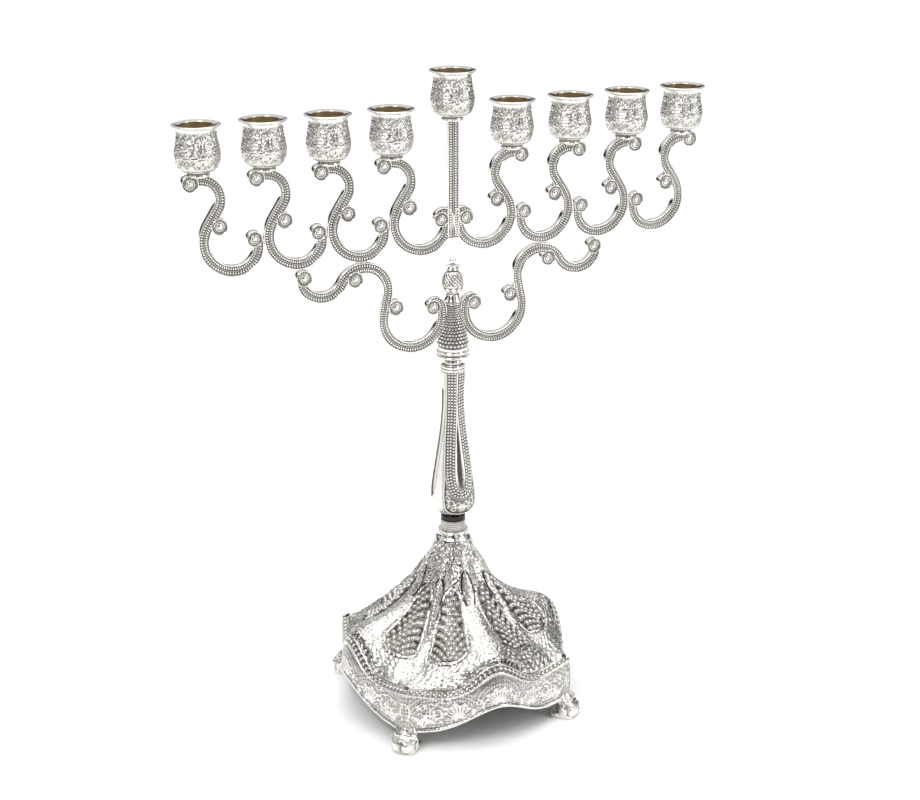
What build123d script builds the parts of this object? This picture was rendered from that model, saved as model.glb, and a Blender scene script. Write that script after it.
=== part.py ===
from build123d import *
from math import acos, atan2, cos, degrees, hypot, radians, sin
import os

# A nine-light scroll menorah in silver-plated cast metal, millimetres.
# Origin: the middle of the footprint on the table. +X runs along the branch row,
# +Y to the back and +Z up. A tie rod clamps the column between a nut under the base
# and the finial; the branches are flat S-scroll castings soldered to one another.

os.makedirs("parts", exist_ok=True)

# ---------------------------------------------------------------- driving dimensions
TOTAL_HEIGHT = 330.0        # table to the rim of the centre light
CENTRE_LIFT = 16.0          # how far the centre light stands above the row
LIGHT_PITCH = 31.0          # spacing of the lights along the row
LIGHTS_PER_SIDE = 4

CANDLE_RADIUS = 7.4         # bore of a candle nozzle
NOZZLE_WALL = 0.4
NOZZLE_CLEARANCE = 0.25     # radial, nozzle tube inside the cup
FLANGE_RADIUS = 11.2
FLANGE_THICKNESS = 1.3
FLANGE_DISH = 0.4           # how far the flange's top falls towards the bore
NOZZLE_DEPTH = 15.2         # flange top to the underside of the tube's floor
NOZZLE_FLOOR = 0.6
SEAT_GAP = 0.05             # flange underside above the cup's rim

CUP_HEIGHT = 24.0           # flange top to the underside of the cup
CUP_CAVITY = 17.0           # flange top to the cup's floor

BAND_WIDTH = 5.3            # scroll branches, in their own plane
BAND_THICKNESS = 3.2        # scroll branches, front to back
VOLUTE_THICKNESS = 4.2

ROD_RADIUS = 1.5            # M3 tie rod
ROD_HOLE = 1.65
THREAD_RADIUS = 1.55        # plain bore that stands for the rod's thread in nut and finial
ROD_TOP = 227.0
ROD_BOTTOM = 76.0
NUT_HEIGHT = 3.0
NUT_WIDTH = 7.0             # across the flats
WASHER_RADIUS = 7.0
WASHER_THICKNESS = 1.2
SHELL_SEAT = 85.0           # flat inside the neck of the base, where the washer bears
NECK_PLUG_RADIUS = 9.5      # solid metal above that flat
RIVET_RADIUS = 1.0
RIVET_HOLE = 1.05
RIVET_GRIP = 4.5            # rivet shank below the cup
RIVET_HEAD_RADIUS = 2.3
RIVET_HEAD_HEIGHT = 1.0

SHELL_TOP = 91.0            # seat of the collar on the base
SHELL_BOTTOM = 10.0
SHELL_WALL = 1.1            # measured level, the wall is thinner across a slope
SHELL_DROP = 2.0            # measured upright
SKIRT_ARCH = 22.0           # underside of the skirt at the middle of a side
SKIRT_ARCH_HALF = 32.0      # half the arch's span
FOOT_OFFSET = 46.0          # foot centres from the axis, in X and in Y
FOOT_WIDTH = 13.0
FOOT_REACH = 7.6            # outward from the foot's centre
FOOT_HEEL = 9.0             # inward from the foot's centre
PAD_THICKNESS = 2.8

ROW_TOP = TOTAL_HEIGHT - CENTRE_LIFT
SIDES = {"right": 1, "left": -1}
CUT_REACH = 80.0            # cuts and trims run at least this far past the metal


# ---------------------------------------------------------------- base shell
# The shell is a draped tent with eight ribs: one to each corner and one to the
# middle of each side. Each outline is (radius, height) going down from the neck.
SIDE_RIB = [(8.5, 93), (11.5, 84), (16, 76), (24, 62), (37, 53), (49, 48), (55.5, 44),
            (59.5, 37), (61, 30), (61, 10)]
VALLEY = [(8.5, 93), (10.9, 84), (15.2, 74.5), (22.5, 61), (30.5, 51), (40, 43.5), (48.5, 37.5),
          (55, 31), (58, 26), (59, 10)]
CORNER_RIB = [(8.5, 93), (12.5, 82), (19, 72), (31, 53.5), (38, 44), (45, 38), (54, 34.5),
              (61, 33.5), (65, 29.5), (65.5, 10)]
VALLEY_ANGLE = 26.0         # from the middle of a side, degrees
CORNER_ANGLE = 45.0
SHELL_LEVELS = [93, 87, 81, 75, 69, 63, 58, 53.5, 49, 45, 42, 39, 36, 33.5, 31, 28, 24, 10]
OUTLINE_POINTS = 48


def outline_radius(outline, height):
    """Radius of one rib outline at a height, straight between its points."""
    height = min(max(height, outline[-1][1]), outline[0][1])
    for (r_high, z_high), (r_low, z_low) in zip(outline, outline[1:]):
        if z_low <= height <= z_high:
            share = (z_high - height) / (z_high - z_low)
            return r_high + share * (r_low - r_high)
    return outline[-1][0]


def smooth(share):
    return share * share * (3 - 2 * share)


def shell_radius(angle, height):
    """Outer radius of the base at an angle in degrees and a height."""
    folded = abs((angle + 45) % 90 - 45)
    side = outline_radius(SIDE_RIB, height)
    valley = outline_radius(VALLEY, height)
    corner = outline_radius(CORNER_RIB, height)
    if folded < VALLEY_ANGLE:
        return side + smooth(folded / VALLEY_ANGLE) * (valley - side)
    share = (folded - VALLEY_ANGLE) / (CORNER_ANGLE - VALLEY_ANGLE)
    return valley + share ** 2 * (corner - valley)


def shell_section(height, wall, drop):
    """Closed outline of the base at a height, moved in by a wall and down by a drop."""
    points = []
    for index in range(OUTLINE_POINTS):
        angle = 360 * index / OUTLINE_POINTS
        radius = shell_radius(angle, height + drop) - wall
        points.append((radius * cos(radians(angle)), radius * sin(radians(angle))))
    return points


with BuildPart() as base_shell:
    for level in SHELL_LEVELS:
        with BuildSketch(Plane.XY.offset(level)):
            with BuildLine():
                Spline(*shell_section(level, 0, 0), periodic=True)
            make_face()
    loft(ruled=True)
    inner_levels = [level for level in SHELL_LEVELS if level < SHELL_TOP]
    for level in inner_levels:
        with BuildSketch(Plane.XY.offset(level)):
            with BuildLine():
                Spline(*shell_section(level, SHELL_WALL, SHELL_DROP), periodic=True)
            make_face()
    loft(ruled=True, mode=Mode.SUBTRACT)
    # solid neck: a flat seat for the washer inside and one for the collar on top
    with Locations((0, 0, SHELL_SEAT)):
        Cylinder(NECK_PLUG_RADIUS, SHELL_TOP - SHELL_SEAT,
                 align=(Align.CENTER, Align.CENTER, Align.MIN))
    with Locations((0, 0, SHELL_TOP)):
        Cylinder(CUT_REACH, CUT_REACH, align=(Align.CENTER, Align.CENTER, Align.MIN),
                 mode=Mode.SUBTRACT)
        Cylinder(ROD_HOLE, 2 * (SHELL_TOP - SHELL_SEAT) + 8, mode=Mode.SUBTRACT)
    # the skirt's lower edge arches up in the middle of every side
    for plane in (Plane.XZ, Plane.YZ):
        with BuildSketch(plane):
            with BuildLine():
                Spline(
                    (-SKIRT_ARCH_HALF, SHELL_BOTTOM - 0.01),
                    (0, SKIRT_ARCH),
                    (SKIRT_ARCH_HALF, SHELL_BOTTOM - 0.01),
                    tangents=((1, 0), (1, 0)),
                )
                Line((SKIRT_ARCH_HALF, SHELL_BOTTOM - 0.01), (-SKIRT_ARCH_HALF, SHELL_BOTTOM - 0.01))
            make_face()
        extrude(amount=CUT_REACH, both=True, mode=Mode.SUBTRACT)
base_shell.part.label = "base_shell"
export_step(base_shell.part, "parts/base_shell.step")


# ---------------------------------------------------------------- feet
FOOT_BRIDGE = 2.0           # metal under the skirt, above the open slot
FOOT_CREST = 4.5            # how far the top of the paw reaches outward
FOOT_TOE = (FOOT_REACH, 4.6)
SLOT_BACK = -2.5            # slot's inner wall at its top
SLOT_FRONT = -1.0           # and at the pad
FOOT_CORNER_RADIUS = 5.5


def paw_foot(direction):
    """A scroll foot on a flat pad, under the corner at a direction in degrees."""
    corner = (FOOT_OFFSET * hypot(1, 1) * cos(radians(direction)),
              FOOT_OFFSET * hypot(1, 1) * sin(radians(direction)), 0)
    outward = (cos(radians(direction)), sin(radians(direction)), 0)
    sideways = (sin(radians(direction)), -cos(radians(direction)), 0)
    side_view = Plane(origin=corner, x_dir=outward, z_dir=sideways)
    plan_view = Plane(origin=corner, x_dir=outward, z_dir=(0, 0, 1))
    slot_top = SHELL_BOTTOM - FOOT_BRIDGE
    with BuildPart() as paw:
        with BuildSketch(side_view):
            with BuildLine():
                Line((-FOOT_HEEL, 0), (FOOT_REACH - 2, 0))
                ThreePointArc((FOOT_REACH - 2, 0), FOOT_TOE, (FOOT_CREST, SHELL_BOTTOM))
                Line((FOOT_CREST, SHELL_BOTTOM), (-FOOT_HEEL + 1, SHELL_BOTTOM))
                Line((-FOOT_HEEL + 1, SHELL_BOTTOM), (-FOOT_HEEL + 1, slot_top))
                Line((-FOOT_HEEL + 1, slot_top), (SLOT_BACK, slot_top))
                Line((SLOT_BACK, slot_top), (SLOT_FRONT, PAD_THICKNESS))
                Line((SLOT_FRONT, PAD_THICKNESS), (-FOOT_HEEL, PAD_THICKNESS))
                Line((-FOOT_HEEL, PAD_THICKNESS), (-FOOT_HEEL, 0))
            make_face()
        extrude(amount=FOOT_WIDTH / 2, both=True)
        with BuildSketch(plan_view):
            with Locations(((FOOT_REACH - FOOT_HEEL) / 2, 0)):
                RectangleRounded(FOOT_REACH + FOOT_HEEL, FOOT_WIDTH, FOOT_CORNER_RADIUS)
        extrude(amount=SHELL_BOTTOM, mode=Mode.INTERSECT)
    return paw.part


FEET = {"foot_back_right": 45, "foot_back_left": 135, "foot_front_left": 225,
        "foot_front_right": 315}
for name, direction in FEET.items():
    part = paw_foot(direction)
    part.label = name
    export_step(part, f"parts/{name}.step")


# ---------------------------------------------------------------- column, bottom to top
COLLAR_TOP = 95.5
DRUM_TOP = 101.0
RING_TOP = 104.0
STEM_TOP = 181.0
KNOP_TOP = 192.5
CONE_TOP = 215.5
DOME_TOP = 221.0
FINIAL_TIP = 238.8
FINIAL_BALL = 1.7
DRUM_RADIUS = 6.4
RING_RADIUS = 6.35


def rim_point(centre, radius, angle):
    """The point of a circle in a drawing plane at an angle in degrees."""
    return (centre[0] + radius * cos(radians(angle)), centre[1] + radius * sin(radians(angle)))


def rod_hole(bottom, top):
    """Cut the tie rod's clearance hole through the part being built."""
    with Locations((0, 0, (bottom + top) / 2)):
        Cylinder(ROD_HOLE, top - bottom + 2, mode=Mode.SUBTRACT)


with BuildPart() as base_collar:
    with BuildSketch(Plane.XZ):
        with BuildLine():
            Line((0, SHELL_TOP), (9.2, SHELL_TOP))
            Line((9.2, SHELL_TOP), (8.8, 91.6))
            ThreePointArc((8.8, 91.6), (7.8, 93.0), (7.5, 94.6))
            Line((7.5, 94.6), (7.8, 94.9))
            Line((7.8, 94.9), (7.6, COLLAR_TOP))
            Line((7.6, COLLAR_TOP), (0, COLLAR_TOP))
            Line((0, COLLAR_TOP), (0, SHELL_TOP))
        make_face()
    revolve(axis=Axis.Z)
    rod_hole(SHELL_TOP, COLLAR_TOP)
base_collar.part.label = "base_collar"
export_step(base_collar.part, "parts/base_collar.step")

with BuildPart() as neck_drum:
    with Locations((0, 0, (COLLAR_TOP + DRUM_TOP) / 2)):
        Cylinder(DRUM_RADIUS, DRUM_TOP - COLLAR_TOP)
    chamfer(neck_drum.edges().filter_by(GeomType.CIRCLE), 0.4)
    rod_hole(COLLAR_TOP, DRUM_TOP)
neck_drum.part.label = "neck_drum"
export_step(neck_drum.part, "parts/neck_drum.step")

with BuildPart() as neck_ring:
    with Locations((0, 0, (DRUM_TOP + RING_TOP) / 2)):
        Cylinder(RING_RADIUS, RING_TOP - DRUM_TOP)
    fillet(neck_ring.edges().filter_by(GeomType.CIRCLE), 0.6)
    rod_hole(DRUM_TOP, RING_TOP)
neck_ring.part.label = "neck_ring"
export_step(neck_ring.part, "parts/neck_ring.step")

STEM_PROFILE = [(5.9, 178), (5.4, 165), (6.3, 151.6), (8.3, 138), (10.5, 124.5), (11.6, 116),
                (11.9, 112), (10.3, 107.4), (7.9, 105.6)]
SLOT_BOTTOM = 121.0         # teardrop recesses, front and back
SLOT_TOP = 155.0
SLOT_WIDTH = 4.4
FLUTE_BOTTOM = 115.0        # long hollow flutes, left and right
FLUTE_TOP = 172.0
FLUTE_WIDTH = 5.0
RECESS_DEPTH = 1.0


def stem_turning(inset):
    """The baluster's turned outline, moved in by an inset, as a solid of revolution."""
    with BuildPart() as turning:
        with BuildSketch(Plane.XZ):
            with BuildLine():
                outline = [(radius - inset, height) for radius, height in STEM_PROFILE]
                Line((0, STEM_TOP), (6.2 - inset, STEM_TOP))
                Line((6.2 - inset, STEM_TOP), outline[0])
                Spline(*outline)
                Line(outline[-1], (5.9 - inset, RING_TOP))
                Line((5.9 - inset, RING_TOP), (0, RING_TOP))
                Line((0, RING_TOP), (0, STEM_TOP))
            make_face()
        revolve(axis=Axis.Z)
    return turning.part


with BuildPart() as stem:
    add(stem_turning(0))
    for facing in (1, -1):
        with BuildSketch(Plane(origin=(0, 0, 0), x_dir=(-facing, 0, 0), z_dir=(0, facing, 0))):
            with BuildLine():
                half = SLOT_WIDTH / 2
                ThreePointArc((-half, SLOT_BOTTOM + half), (0, SLOT_BOTTOM), (half, SLOT_BOTTOM + half))
                Line((half, SLOT_BOTTOM + half), (0.5, SLOT_TOP))
                Line((0.5, SLOT_TOP), (-0.5, SLOT_TOP))
                Line((-0.5, SLOT_TOP), (-half, SLOT_BOTTOM + half))
            make_face()
        extrude(amount=CUT_REACH, mode=Mode.SUBTRACT)
        with BuildSketch(Plane(origin=(0, 0, 0), x_dir=(0, facing, 0), z_dir=(facing, 0, 0))):
            with Locations((0, (FLUTE_BOTTOM + FLUTE_TOP) / 2)):
                SlotOverall(FLUTE_TOP - FLUTE_BOTTOM, FLUTE_WIDTH, rotation=90)
        extrude(amount=CUT_REACH, mode=Mode.SUBTRACT)
    add(stem_turning(RECESS_DEPTH))
    rod_hole(RING_TOP, STEM_TOP)
stem.part.label = "stem"
export_step(stem.part, "parts/stem.step")

with BuildPart() as knop:
    with BuildSketch(Plane.XZ):
        with BuildLine():
            Polyline((0, STEM_TOP), (5.8, STEM_TOP), (6.1, 181.6), (6.1, 183.9), (5.2, 184.4))
            ThreePointArc((5.2, 184.4), (5.3, 186.2), (7.6, 188.2))
            ThreePointArc((7.6, 188.2), (8.1, 189.0), (7.6, 189.7))
            Polyline((7.6, 189.7), (6.9, 189.8), (6.9, 190.3), (7.7, 190.4))
            ThreePointArc((7.7, 190.4), (8.2, 191.3), (7.7, 192.1))
            Polyline((7.7, 192.1), (7.4, KNOP_TOP), (0, KNOP_TOP), (0, STEM_TOP))
        make_face()
    revolve(axis=Axis.Z)
    rod_hole(STEM_TOP, KNOP_TOP)
knop.part.label = "knop"
export_step(knop.part, "parts/knop.step")

with BuildPart() as beaded_cone:
    with BuildSketch(Plane.XZ):
        with BuildLine():
            Line((0, CONE_TOP), (3.7, CONE_TOP))
            Spline((3.7, CONE_TOP), (5.0, 208.5), (6.4, 201.5), (7.9, 194.5))
            Polyline((7.9, 194.5), (7.5, KNOP_TOP), (0, KNOP_TOP), (0, CONE_TOP))
        make_face()
    revolve(axis=Axis.Z)
    rod_hole(KNOP_TOP, CONE_TOP)
beaded_cone.part.label = "beaded_cone"
export_step(beaded_cone.part, "parts/beaded_cone.step")

with BuildPart() as dome_washer:
    with BuildSketch(Plane.XZ):
        with BuildLine():
            Polyline((0, CONE_TOP), (4.1, CONE_TOP), (4.4, 216.0), (4.4, 216.6), (3.9, 216.9))
            ThreePointArc((3.9, 216.9), (3.5, 219.0), (2.4, DOME_TOP - 0.4))
            Polyline((2.4, DOME_TOP - 0.4), (2.4, DOME_TOP), (0, DOME_TOP), (0, CONE_TOP))
        make_face()
    revolve(axis=Axis.Z)
    rod_hole(CONE_TOP, DOME_TOP)
dome_washer.part.label = "dome_washer"
export_step(dome_washer.part, "parts/dome_washer.step")

with BuildPart() as finial:
    with BuildSketch(Plane.XZ):
        with BuildLine():
            Polyline((0, DOME_TOP), (2.5, DOME_TOP), (2.6, 221.4))
            Spline((2.6, 221.4), (4.4, 222.3), (5.2, 224.2), (5.3, 226.2), (4.9, 228.6), (4.2, 230.4),
                   (2.9, 232.2))
            Polyline((2.9, 232.2), (3.4, 233.2), (3.5, 234.2), (2.8, 235.0))
            ball = (0, FINIAL_TIP - FINIAL_BALL)
            Line((2.8, 235.0), rim_point(ball, FINIAL_BALL, -40))
            CenterArc(ball, FINIAL_BALL, -40, 130)
            Line((0, FINIAL_TIP), (0, DOME_TOP))
        make_face()
    revolve(axis=Axis.Z)
    with Locations((0, 0, DOME_TOP)):
        Cylinder(THREAD_RADIUS, 2 * (ROD_TOP + 0.5 - DOME_TOP), mode=Mode.SUBTRACT)
finial.part.label = "finial"
export_step(finial.part, "parts/finial.step")

with BuildPart() as tie_rod:
    with Locations((0, 0, (ROD_TOP + ROD_BOTTOM) / 2)):
        Cylinder(ROD_RADIUS, ROD_TOP - ROD_BOTTOM)
    chamfer(tie_rod.edges().filter_by(GeomType.CIRCLE), 0.3)
tie_rod.part.label = "tie_rod"
export_step(tie_rod.part, "parts/tie_rod.step")

with BuildPart() as rod_washer:
    with Locations((0, 0, SHELL_SEAT - WASHER_THICKNESS / 2)):
        Cylinder(WASHER_RADIUS, WASHER_THICKNESS)
        Cylinder(ROD_HOLE, WASHER_THICKNESS, mode=Mode.SUBTRACT)
rod_washer.part.label = "rod_washer"
export_step(rod_washer.part, "parts/rod_washer.step")

with BuildPart() as rod_nut:
    with BuildSketch(Plane.XY.offset(SHELL_SEAT - WASHER_THICKNESS - NUT_HEIGHT)):
        RegularPolygon(NUT_WIDTH / 2, 6, major_radius=False)
        Circle(THREAD_RADIUS, mode=Mode.SUBTRACT)
    extrude(amount=NUT_HEIGHT)
rod_nut.part.label = "rod_nut"
export_step(rod_nut.part, "parts/rod_nut.step")


# ---------------------------------------------------------------- scroll branches
# A branch is a flat band that follows tangent arcs in the plane of the row, with round
# volutes at its ends and at its crossings. Right-hand branches are drawn; the
# left-hand ones are mirror images.
CROWN_RADIUS = 9.3          # the arc under a cup
CROWN_DROP = 35.0           # light rim down to the crown's centre
BOWL_RADIUS = 14.3          # outer half of the U below it
BOWL_INNER_RADIUS = 11.4    # inner half, which closes towards the volute
BOWL_OFFSET = 14.95         # light axis to the bowl's centre
BOWL_DROP = 55.35           # light rim down to the bowl's centre
VOLUTE_RADIUS = 4.0
OUTER_FLAT = 2.0            # joint face beyond the light's axis, in X
INNER_FLAT = 29.0           # joint face on the other side of the bowl
TRIM = (20, 30)             # block that cuts a joint face
CUP_SEAT = (14, 14, 6)      # block that levels a branch under its cup


def crossing_angles(first, first_radius, second, second_radius):
    """Directions to the tangent points of the straight that crosses between two circles."""
    gap_x = second[0] - first[0]
    gap_z = second[1] - first[1]
    lean = degrees(acos(min(1, (first_radius + second_radius) / hypot(gap_x, gap_z))))
    angle = degrees(atan2(gap_z, gap_x)) - lean
    return angle, angle + 180


def upper_branch(light_x, side):
    """The S-scroll that carries one light of the row."""
    crown = (light_x, ROW_TOP - CROWN_DROP)
    bowl = (light_x - BOWL_OFFSET, ROW_TOP - BOWL_DROP)
    inner_bowl = (bowl[0], bowl[1] - BOWL_RADIUS + BOWL_INNER_RADIUS)
    leave, arrive = crossing_angles(bowl, BOWL_RADIUS, crown, CROWN_RADIUS)
    volutes = [(light_x - 24.5, ROW_TOP - 55.3), (light_x - 8.2, ROW_TOP - 48),
               (light_x + 4.5, ROW_TOP - 27)]
    with BuildPart() as branch:
        with BuildSketch(Plane.XZ):
            with BuildLine():
                CenterArc(inner_bowl, BOWL_INNER_RADIUS, -90, -120)
                CenterArc(bowl, BOWL_RADIUS, -90, 90 + leave)
                Line(rim_point(bowl, BOWL_RADIUS, leave), rim_point(crown, CROWN_RADIUS, arrive))
                CenterArc(crown, CROWN_RADIUS, arrive, 60 - arrive)
            trace(line_width=BAND_WIDTH)
            # flats where the neighbouring branches meet
            with Locations((light_x + OUTER_FLAT + TRIM[0] / 2, bowl[1])):
                Rectangle(*TRIM, mode=Mode.SUBTRACT)
            with Locations((light_x - INNER_FLAT - TRIM[0] / 2, bowl[1])):
                Rectangle(*TRIM, mode=Mode.SUBTRACT)
        extrude(amount=BAND_THICKNESS / 2, both=True)
        with BuildSketch(Plane.XZ):
            with Locations(*volutes):
                Circle(VOLUTE_RADIUS)
        extrude(amount=VOLUTE_THICKNESS / 2, both=True)
        # seat and hole for the cup's rivet
        cup_base = ROW_TOP - CUP_HEIGHT
        with Locations((light_x, 0, cup_base)):
            Box(*CUP_SEAT, align=(Align.CENTER, Align.CENTER, Align.MIN), mode=Mode.SUBTRACT)
            Cylinder(RIVET_HOLE, 2 * RIVET_GRIP, mode=Mode.SUBTRACT)
        if side < 0:
            mirror(about=Plane.YZ, mode=Mode.REPLACE)
    return branch


upper_branches = {}
for side_name, side in SIDES.items():
    for number in range(1, LIGHTS_PER_SIDE + 1):
        name = f"upper_branch_{side_name}_{number}"
        upper_branches[name] = upper_branch(number * LIGHT_PITCH, side).part
        upper_branches[name].label = name
        export_step(upper_branches[name], f"parts/{name}.step")

HUB_BOWL = (21.4, 211.2)    # U beside the cone
HUB_BOWL_RADIUS = 15.3
SHOULDER = (46.5, 226.5)    # arc that carries the second light's branch
SHOULDER_RADIUS = 12.3
OUTER_BOWL = (67.0, 237.5)  # U that carries the third light's branch
LOWER_VOLUTES = [(10.9, 215.2), (30.3, 217.2), (50.8, 233.6), (76.2, 237.0)]
CAP_CLEARANCE = 4.5         # radius kept free of the branches round the cone's top and cap


def lower_branch(side_name, side):
    """The double scroll from the column out to the second and third lights' branches."""
    leave, arrive = crossing_angles(HUB_BOWL, HUB_BOWL_RADIUS, SHOULDER, SHOULDER_RADIUS)
    reach = hypot(OUTER_BOWL[0] - SHOULDER[0], OUTER_BOWL[1] - SHOULDER[1])
    outer_radius = reach - SHOULDER_RADIUS
    swing = degrees(atan2(OUTER_BOWL[1] - SHOULDER[1], OUTER_BOWL[0] - SHOULDER[0]))
    with BuildPart() as branch:
        with BuildSketch(Plane.XZ):
            with BuildLine():
                CenterArc(HUB_BOWL, HUB_BOWL_RADIUS, 163, 197 + leave)
                Line(rim_point(HUB_BOWL, HUB_BOWL_RADIUS, leave),
                     rim_point(SHOULDER, SHOULDER_RADIUS, arrive))
                CenterArc(SHOULDER, SHOULDER_RADIUS, arrive, swing - arrive)
                CenterArc(OUTER_BOWL, outer_radius, swing + 180, 200 - swing)
            trace(line_width=BAND_WIDTH)
        extrude(amount=BAND_THICKNESS / 2, both=True)
        with BuildSketch(Plane.XZ):
            with Locations(*LOWER_VOLUTES):
                Circle(VOLUTE_RADIUS)
        extrude(amount=VOLUTE_THICKNESS / 2, both=True)
        if side < 0:
            mirror(about=Plane.YZ, mode=Mode.REPLACE)
        # seats on the cone and under the row
        add(beaded_cone.part, mode=Mode.SUBTRACT)
        with Locations((0, 0, (KNOP_TOP + DOME_TOP) / 2)):
            Cylinder(CAP_CLEARANCE, DOME_TOP - KNOP_TOP + 4, mode=Mode.SUBTRACT)
        for number in (2, 3):
            add(upper_branches[f"upper_branch_{side_name}_{number}"], mode=Mode.SUBTRACT)
    return branch


for side_name, side in SIDES.items():
    name = f"lower_branch_{side_name}"
    part = lower_branch(side_name, side).part
    part.label = name
    export_step(part, f"parts/{name}.step")

POST_WIDTH = 6.2
POST_FOOT_WIDTH = 4.0       # fits between the first two branches
POST_FOOT_BOTTOM = 247.0
POST_FOOT_TOP = 264.0
with BuildPart() as centre_post:
    post_top = TOTAL_HEIGHT - CUP_HEIGHT
    with BuildSketch(Plane.XZ):
        with Locations((0, (POST_FOOT_TOP + post_top) / 2)):
            Rectangle(POST_WIDTH, post_top - POST_FOOT_TOP)
        with Locations((0, (POST_FOOT_BOTTOM + POST_FOOT_TOP) / 2)):
            Rectangle(POST_FOOT_WIDTH, POST_FOOT_TOP - POST_FOOT_BOTTOM)
    extrude(amount=BAND_THICKNESS / 2, both=True)
    with Locations((0, 0, post_top)):
        Cylinder(RIVET_HOLE, 2 * RIVET_GRIP, mode=Mode.SUBTRACT)
centre_post.part.label = "centre_post"
export_step(centre_post.part, "parts/centre_post.step")


# ---------------------------------------------------------------- cups, nozzles, rivets
def light_places():
    """Name, X and rim height of the nine lights, from left to right."""
    places = []
    for number in range(LIGHTS_PER_SIDE, 0, -1):
        places.append((f"left_{number}", -number * LIGHT_PITCH, ROW_TOP))
    places.append(("centre", 0, TOTAL_HEIGHT))
    for number in range(1, LIGHTS_PER_SIDE + 1):
        places.append((f"right_{number}", number * LIGHT_PITCH, ROW_TOP))
    return places


def candle_cup(light_x, rim):
    """A bulbous cup with a waisted neck, open at the top for its nozzle."""
    lip = rim - FLANGE_THICKNESS - SEAT_GAP
    base = rim - CUP_HEIGHT
    with BuildPart() as cup:
        with BuildSketch(Plane.XZ):
            with BuildLine():
                Line((0, lip), (9.9, lip))
                Spline((9.9, lip), (8.9, rim - 4.4), (10.3, rim - 13.5), (7.2, rim - 21),
                       tangents=((-0.5, -1), (-1, -1)))
                Polyline((7.2, rim - 21), (4.9, rim - 22), (4.9, base), (0, base), (0, lip))
            make_face()
        revolve(axis=Axis.Z)
        cavity_radius = CANDLE_RADIUS + NOZZLE_WALL + NOZZLE_CLEARANCE
        with Locations((0, 0, rim - CUP_CAVITY)):
            Cylinder(cavity_radius, CUP_CAVITY, align=(Align.CENTER, Align.CENTER, Align.MIN),
                     mode=Mode.SUBTRACT)
            Cylinder(RIVET_HOLE, 2 * CUP_HEIGHT, mode=Mode.SUBTRACT)
    return cup.part.moved(Location((light_x, 0, 0)))


def nozzle(light_x, rim):
    """A flanged candle socket that drops into a cup and lifts out for cleaning."""
    tube_radius = CANDLE_RADIUS + NOZZLE_WALL
    under = rim - FLANGE_THICKNESS
    bottom = rim - NOZZLE_DEPTH
    edge = FLANGE_RADIUS - FLANGE_THICKNESS / 2
    with BuildPart() as socket:
        with BuildSketch(Plane.XZ):
            with BuildLine():
                Line((CANDLE_RADIUS, rim - FLANGE_DISH), (edge, rim))
                ThreePointArc((edge, rim), (FLANGE_RADIUS, rim - FLANGE_THICKNESS / 2), (edge, under))
                Polyline((edge, under), (tube_radius, under), (tube_radius, bottom),
                         (0, bottom), (0, bottom + NOZZLE_FLOOR),
                         (CANDLE_RADIUS, bottom + NOZZLE_FLOOR), (CANDLE_RADIUS, rim - FLANGE_DISH))
            make_face()
        revolve(axis=Axis.Z)
    return socket.part.moved(Location((light_x, 0, 0)))


for place, light_x, rim in light_places():
    for name, part in ((f"cup_{place}", candle_cup(light_x, rim)),
                       (f"nozzle_{place}", nozzle(light_x, rim))):
        part.label = name
        export_step(part, f"parts/{name}.step")

with BuildPart() as cup_rivets:
    for place, light_x, rim in light_places():
        with Locations((light_x, 0, rim - CUP_CAVITY)):
            Cylinder(RIVET_HEAD_RADIUS, RIVET_HEAD_HEIGHT,
                     align=(Align.CENTER, Align.CENTER, Align.MIN))
            Cylinder(RIVET_RADIUS, CUP_HEIGHT - CUP_CAVITY + RIVET_GRIP - 0.3,
                     align=(Align.CENTER, Align.CENTER, Align.MAX))
cup_rivets.part.label = "cup_rivets"
export_step(cup_rivets.part, "parts/cup_rivets.step")
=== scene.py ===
import math
import bpy
import numpy as np
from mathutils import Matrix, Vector
from mathutils.kdtree import KDTree


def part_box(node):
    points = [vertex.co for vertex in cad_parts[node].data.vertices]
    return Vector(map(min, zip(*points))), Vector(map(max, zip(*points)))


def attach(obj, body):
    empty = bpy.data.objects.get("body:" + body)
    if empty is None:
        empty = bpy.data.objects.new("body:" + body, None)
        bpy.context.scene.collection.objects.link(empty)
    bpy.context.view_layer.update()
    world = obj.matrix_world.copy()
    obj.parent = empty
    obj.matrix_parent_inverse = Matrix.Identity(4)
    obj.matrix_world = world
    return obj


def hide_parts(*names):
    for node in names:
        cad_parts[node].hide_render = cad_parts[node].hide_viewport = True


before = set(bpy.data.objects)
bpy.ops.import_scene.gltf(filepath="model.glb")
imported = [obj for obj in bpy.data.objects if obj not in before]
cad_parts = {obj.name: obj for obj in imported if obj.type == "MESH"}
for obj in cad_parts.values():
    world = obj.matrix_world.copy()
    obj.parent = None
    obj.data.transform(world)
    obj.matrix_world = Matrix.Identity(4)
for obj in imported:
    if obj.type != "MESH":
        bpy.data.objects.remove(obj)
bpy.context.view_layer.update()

# The looks of a nine-light scroll menorah. Shapes are worked out in millimetres in the
# CAD frame: X along the row of lights, Y to the back, Z up, origin on the table.
MM = 0.001
ROOT = "candelabrum"
LIGHTS = [name.removeprefix("nozzle_") for name in sorted(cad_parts) if name.startswith("nozzle_")]


def box_mm(node):
    """Lowest and highest corner of a CAD node in millimetres."""
    low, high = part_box(node)
    return np.array(low) / MM, np.array(high) / MM


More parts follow.
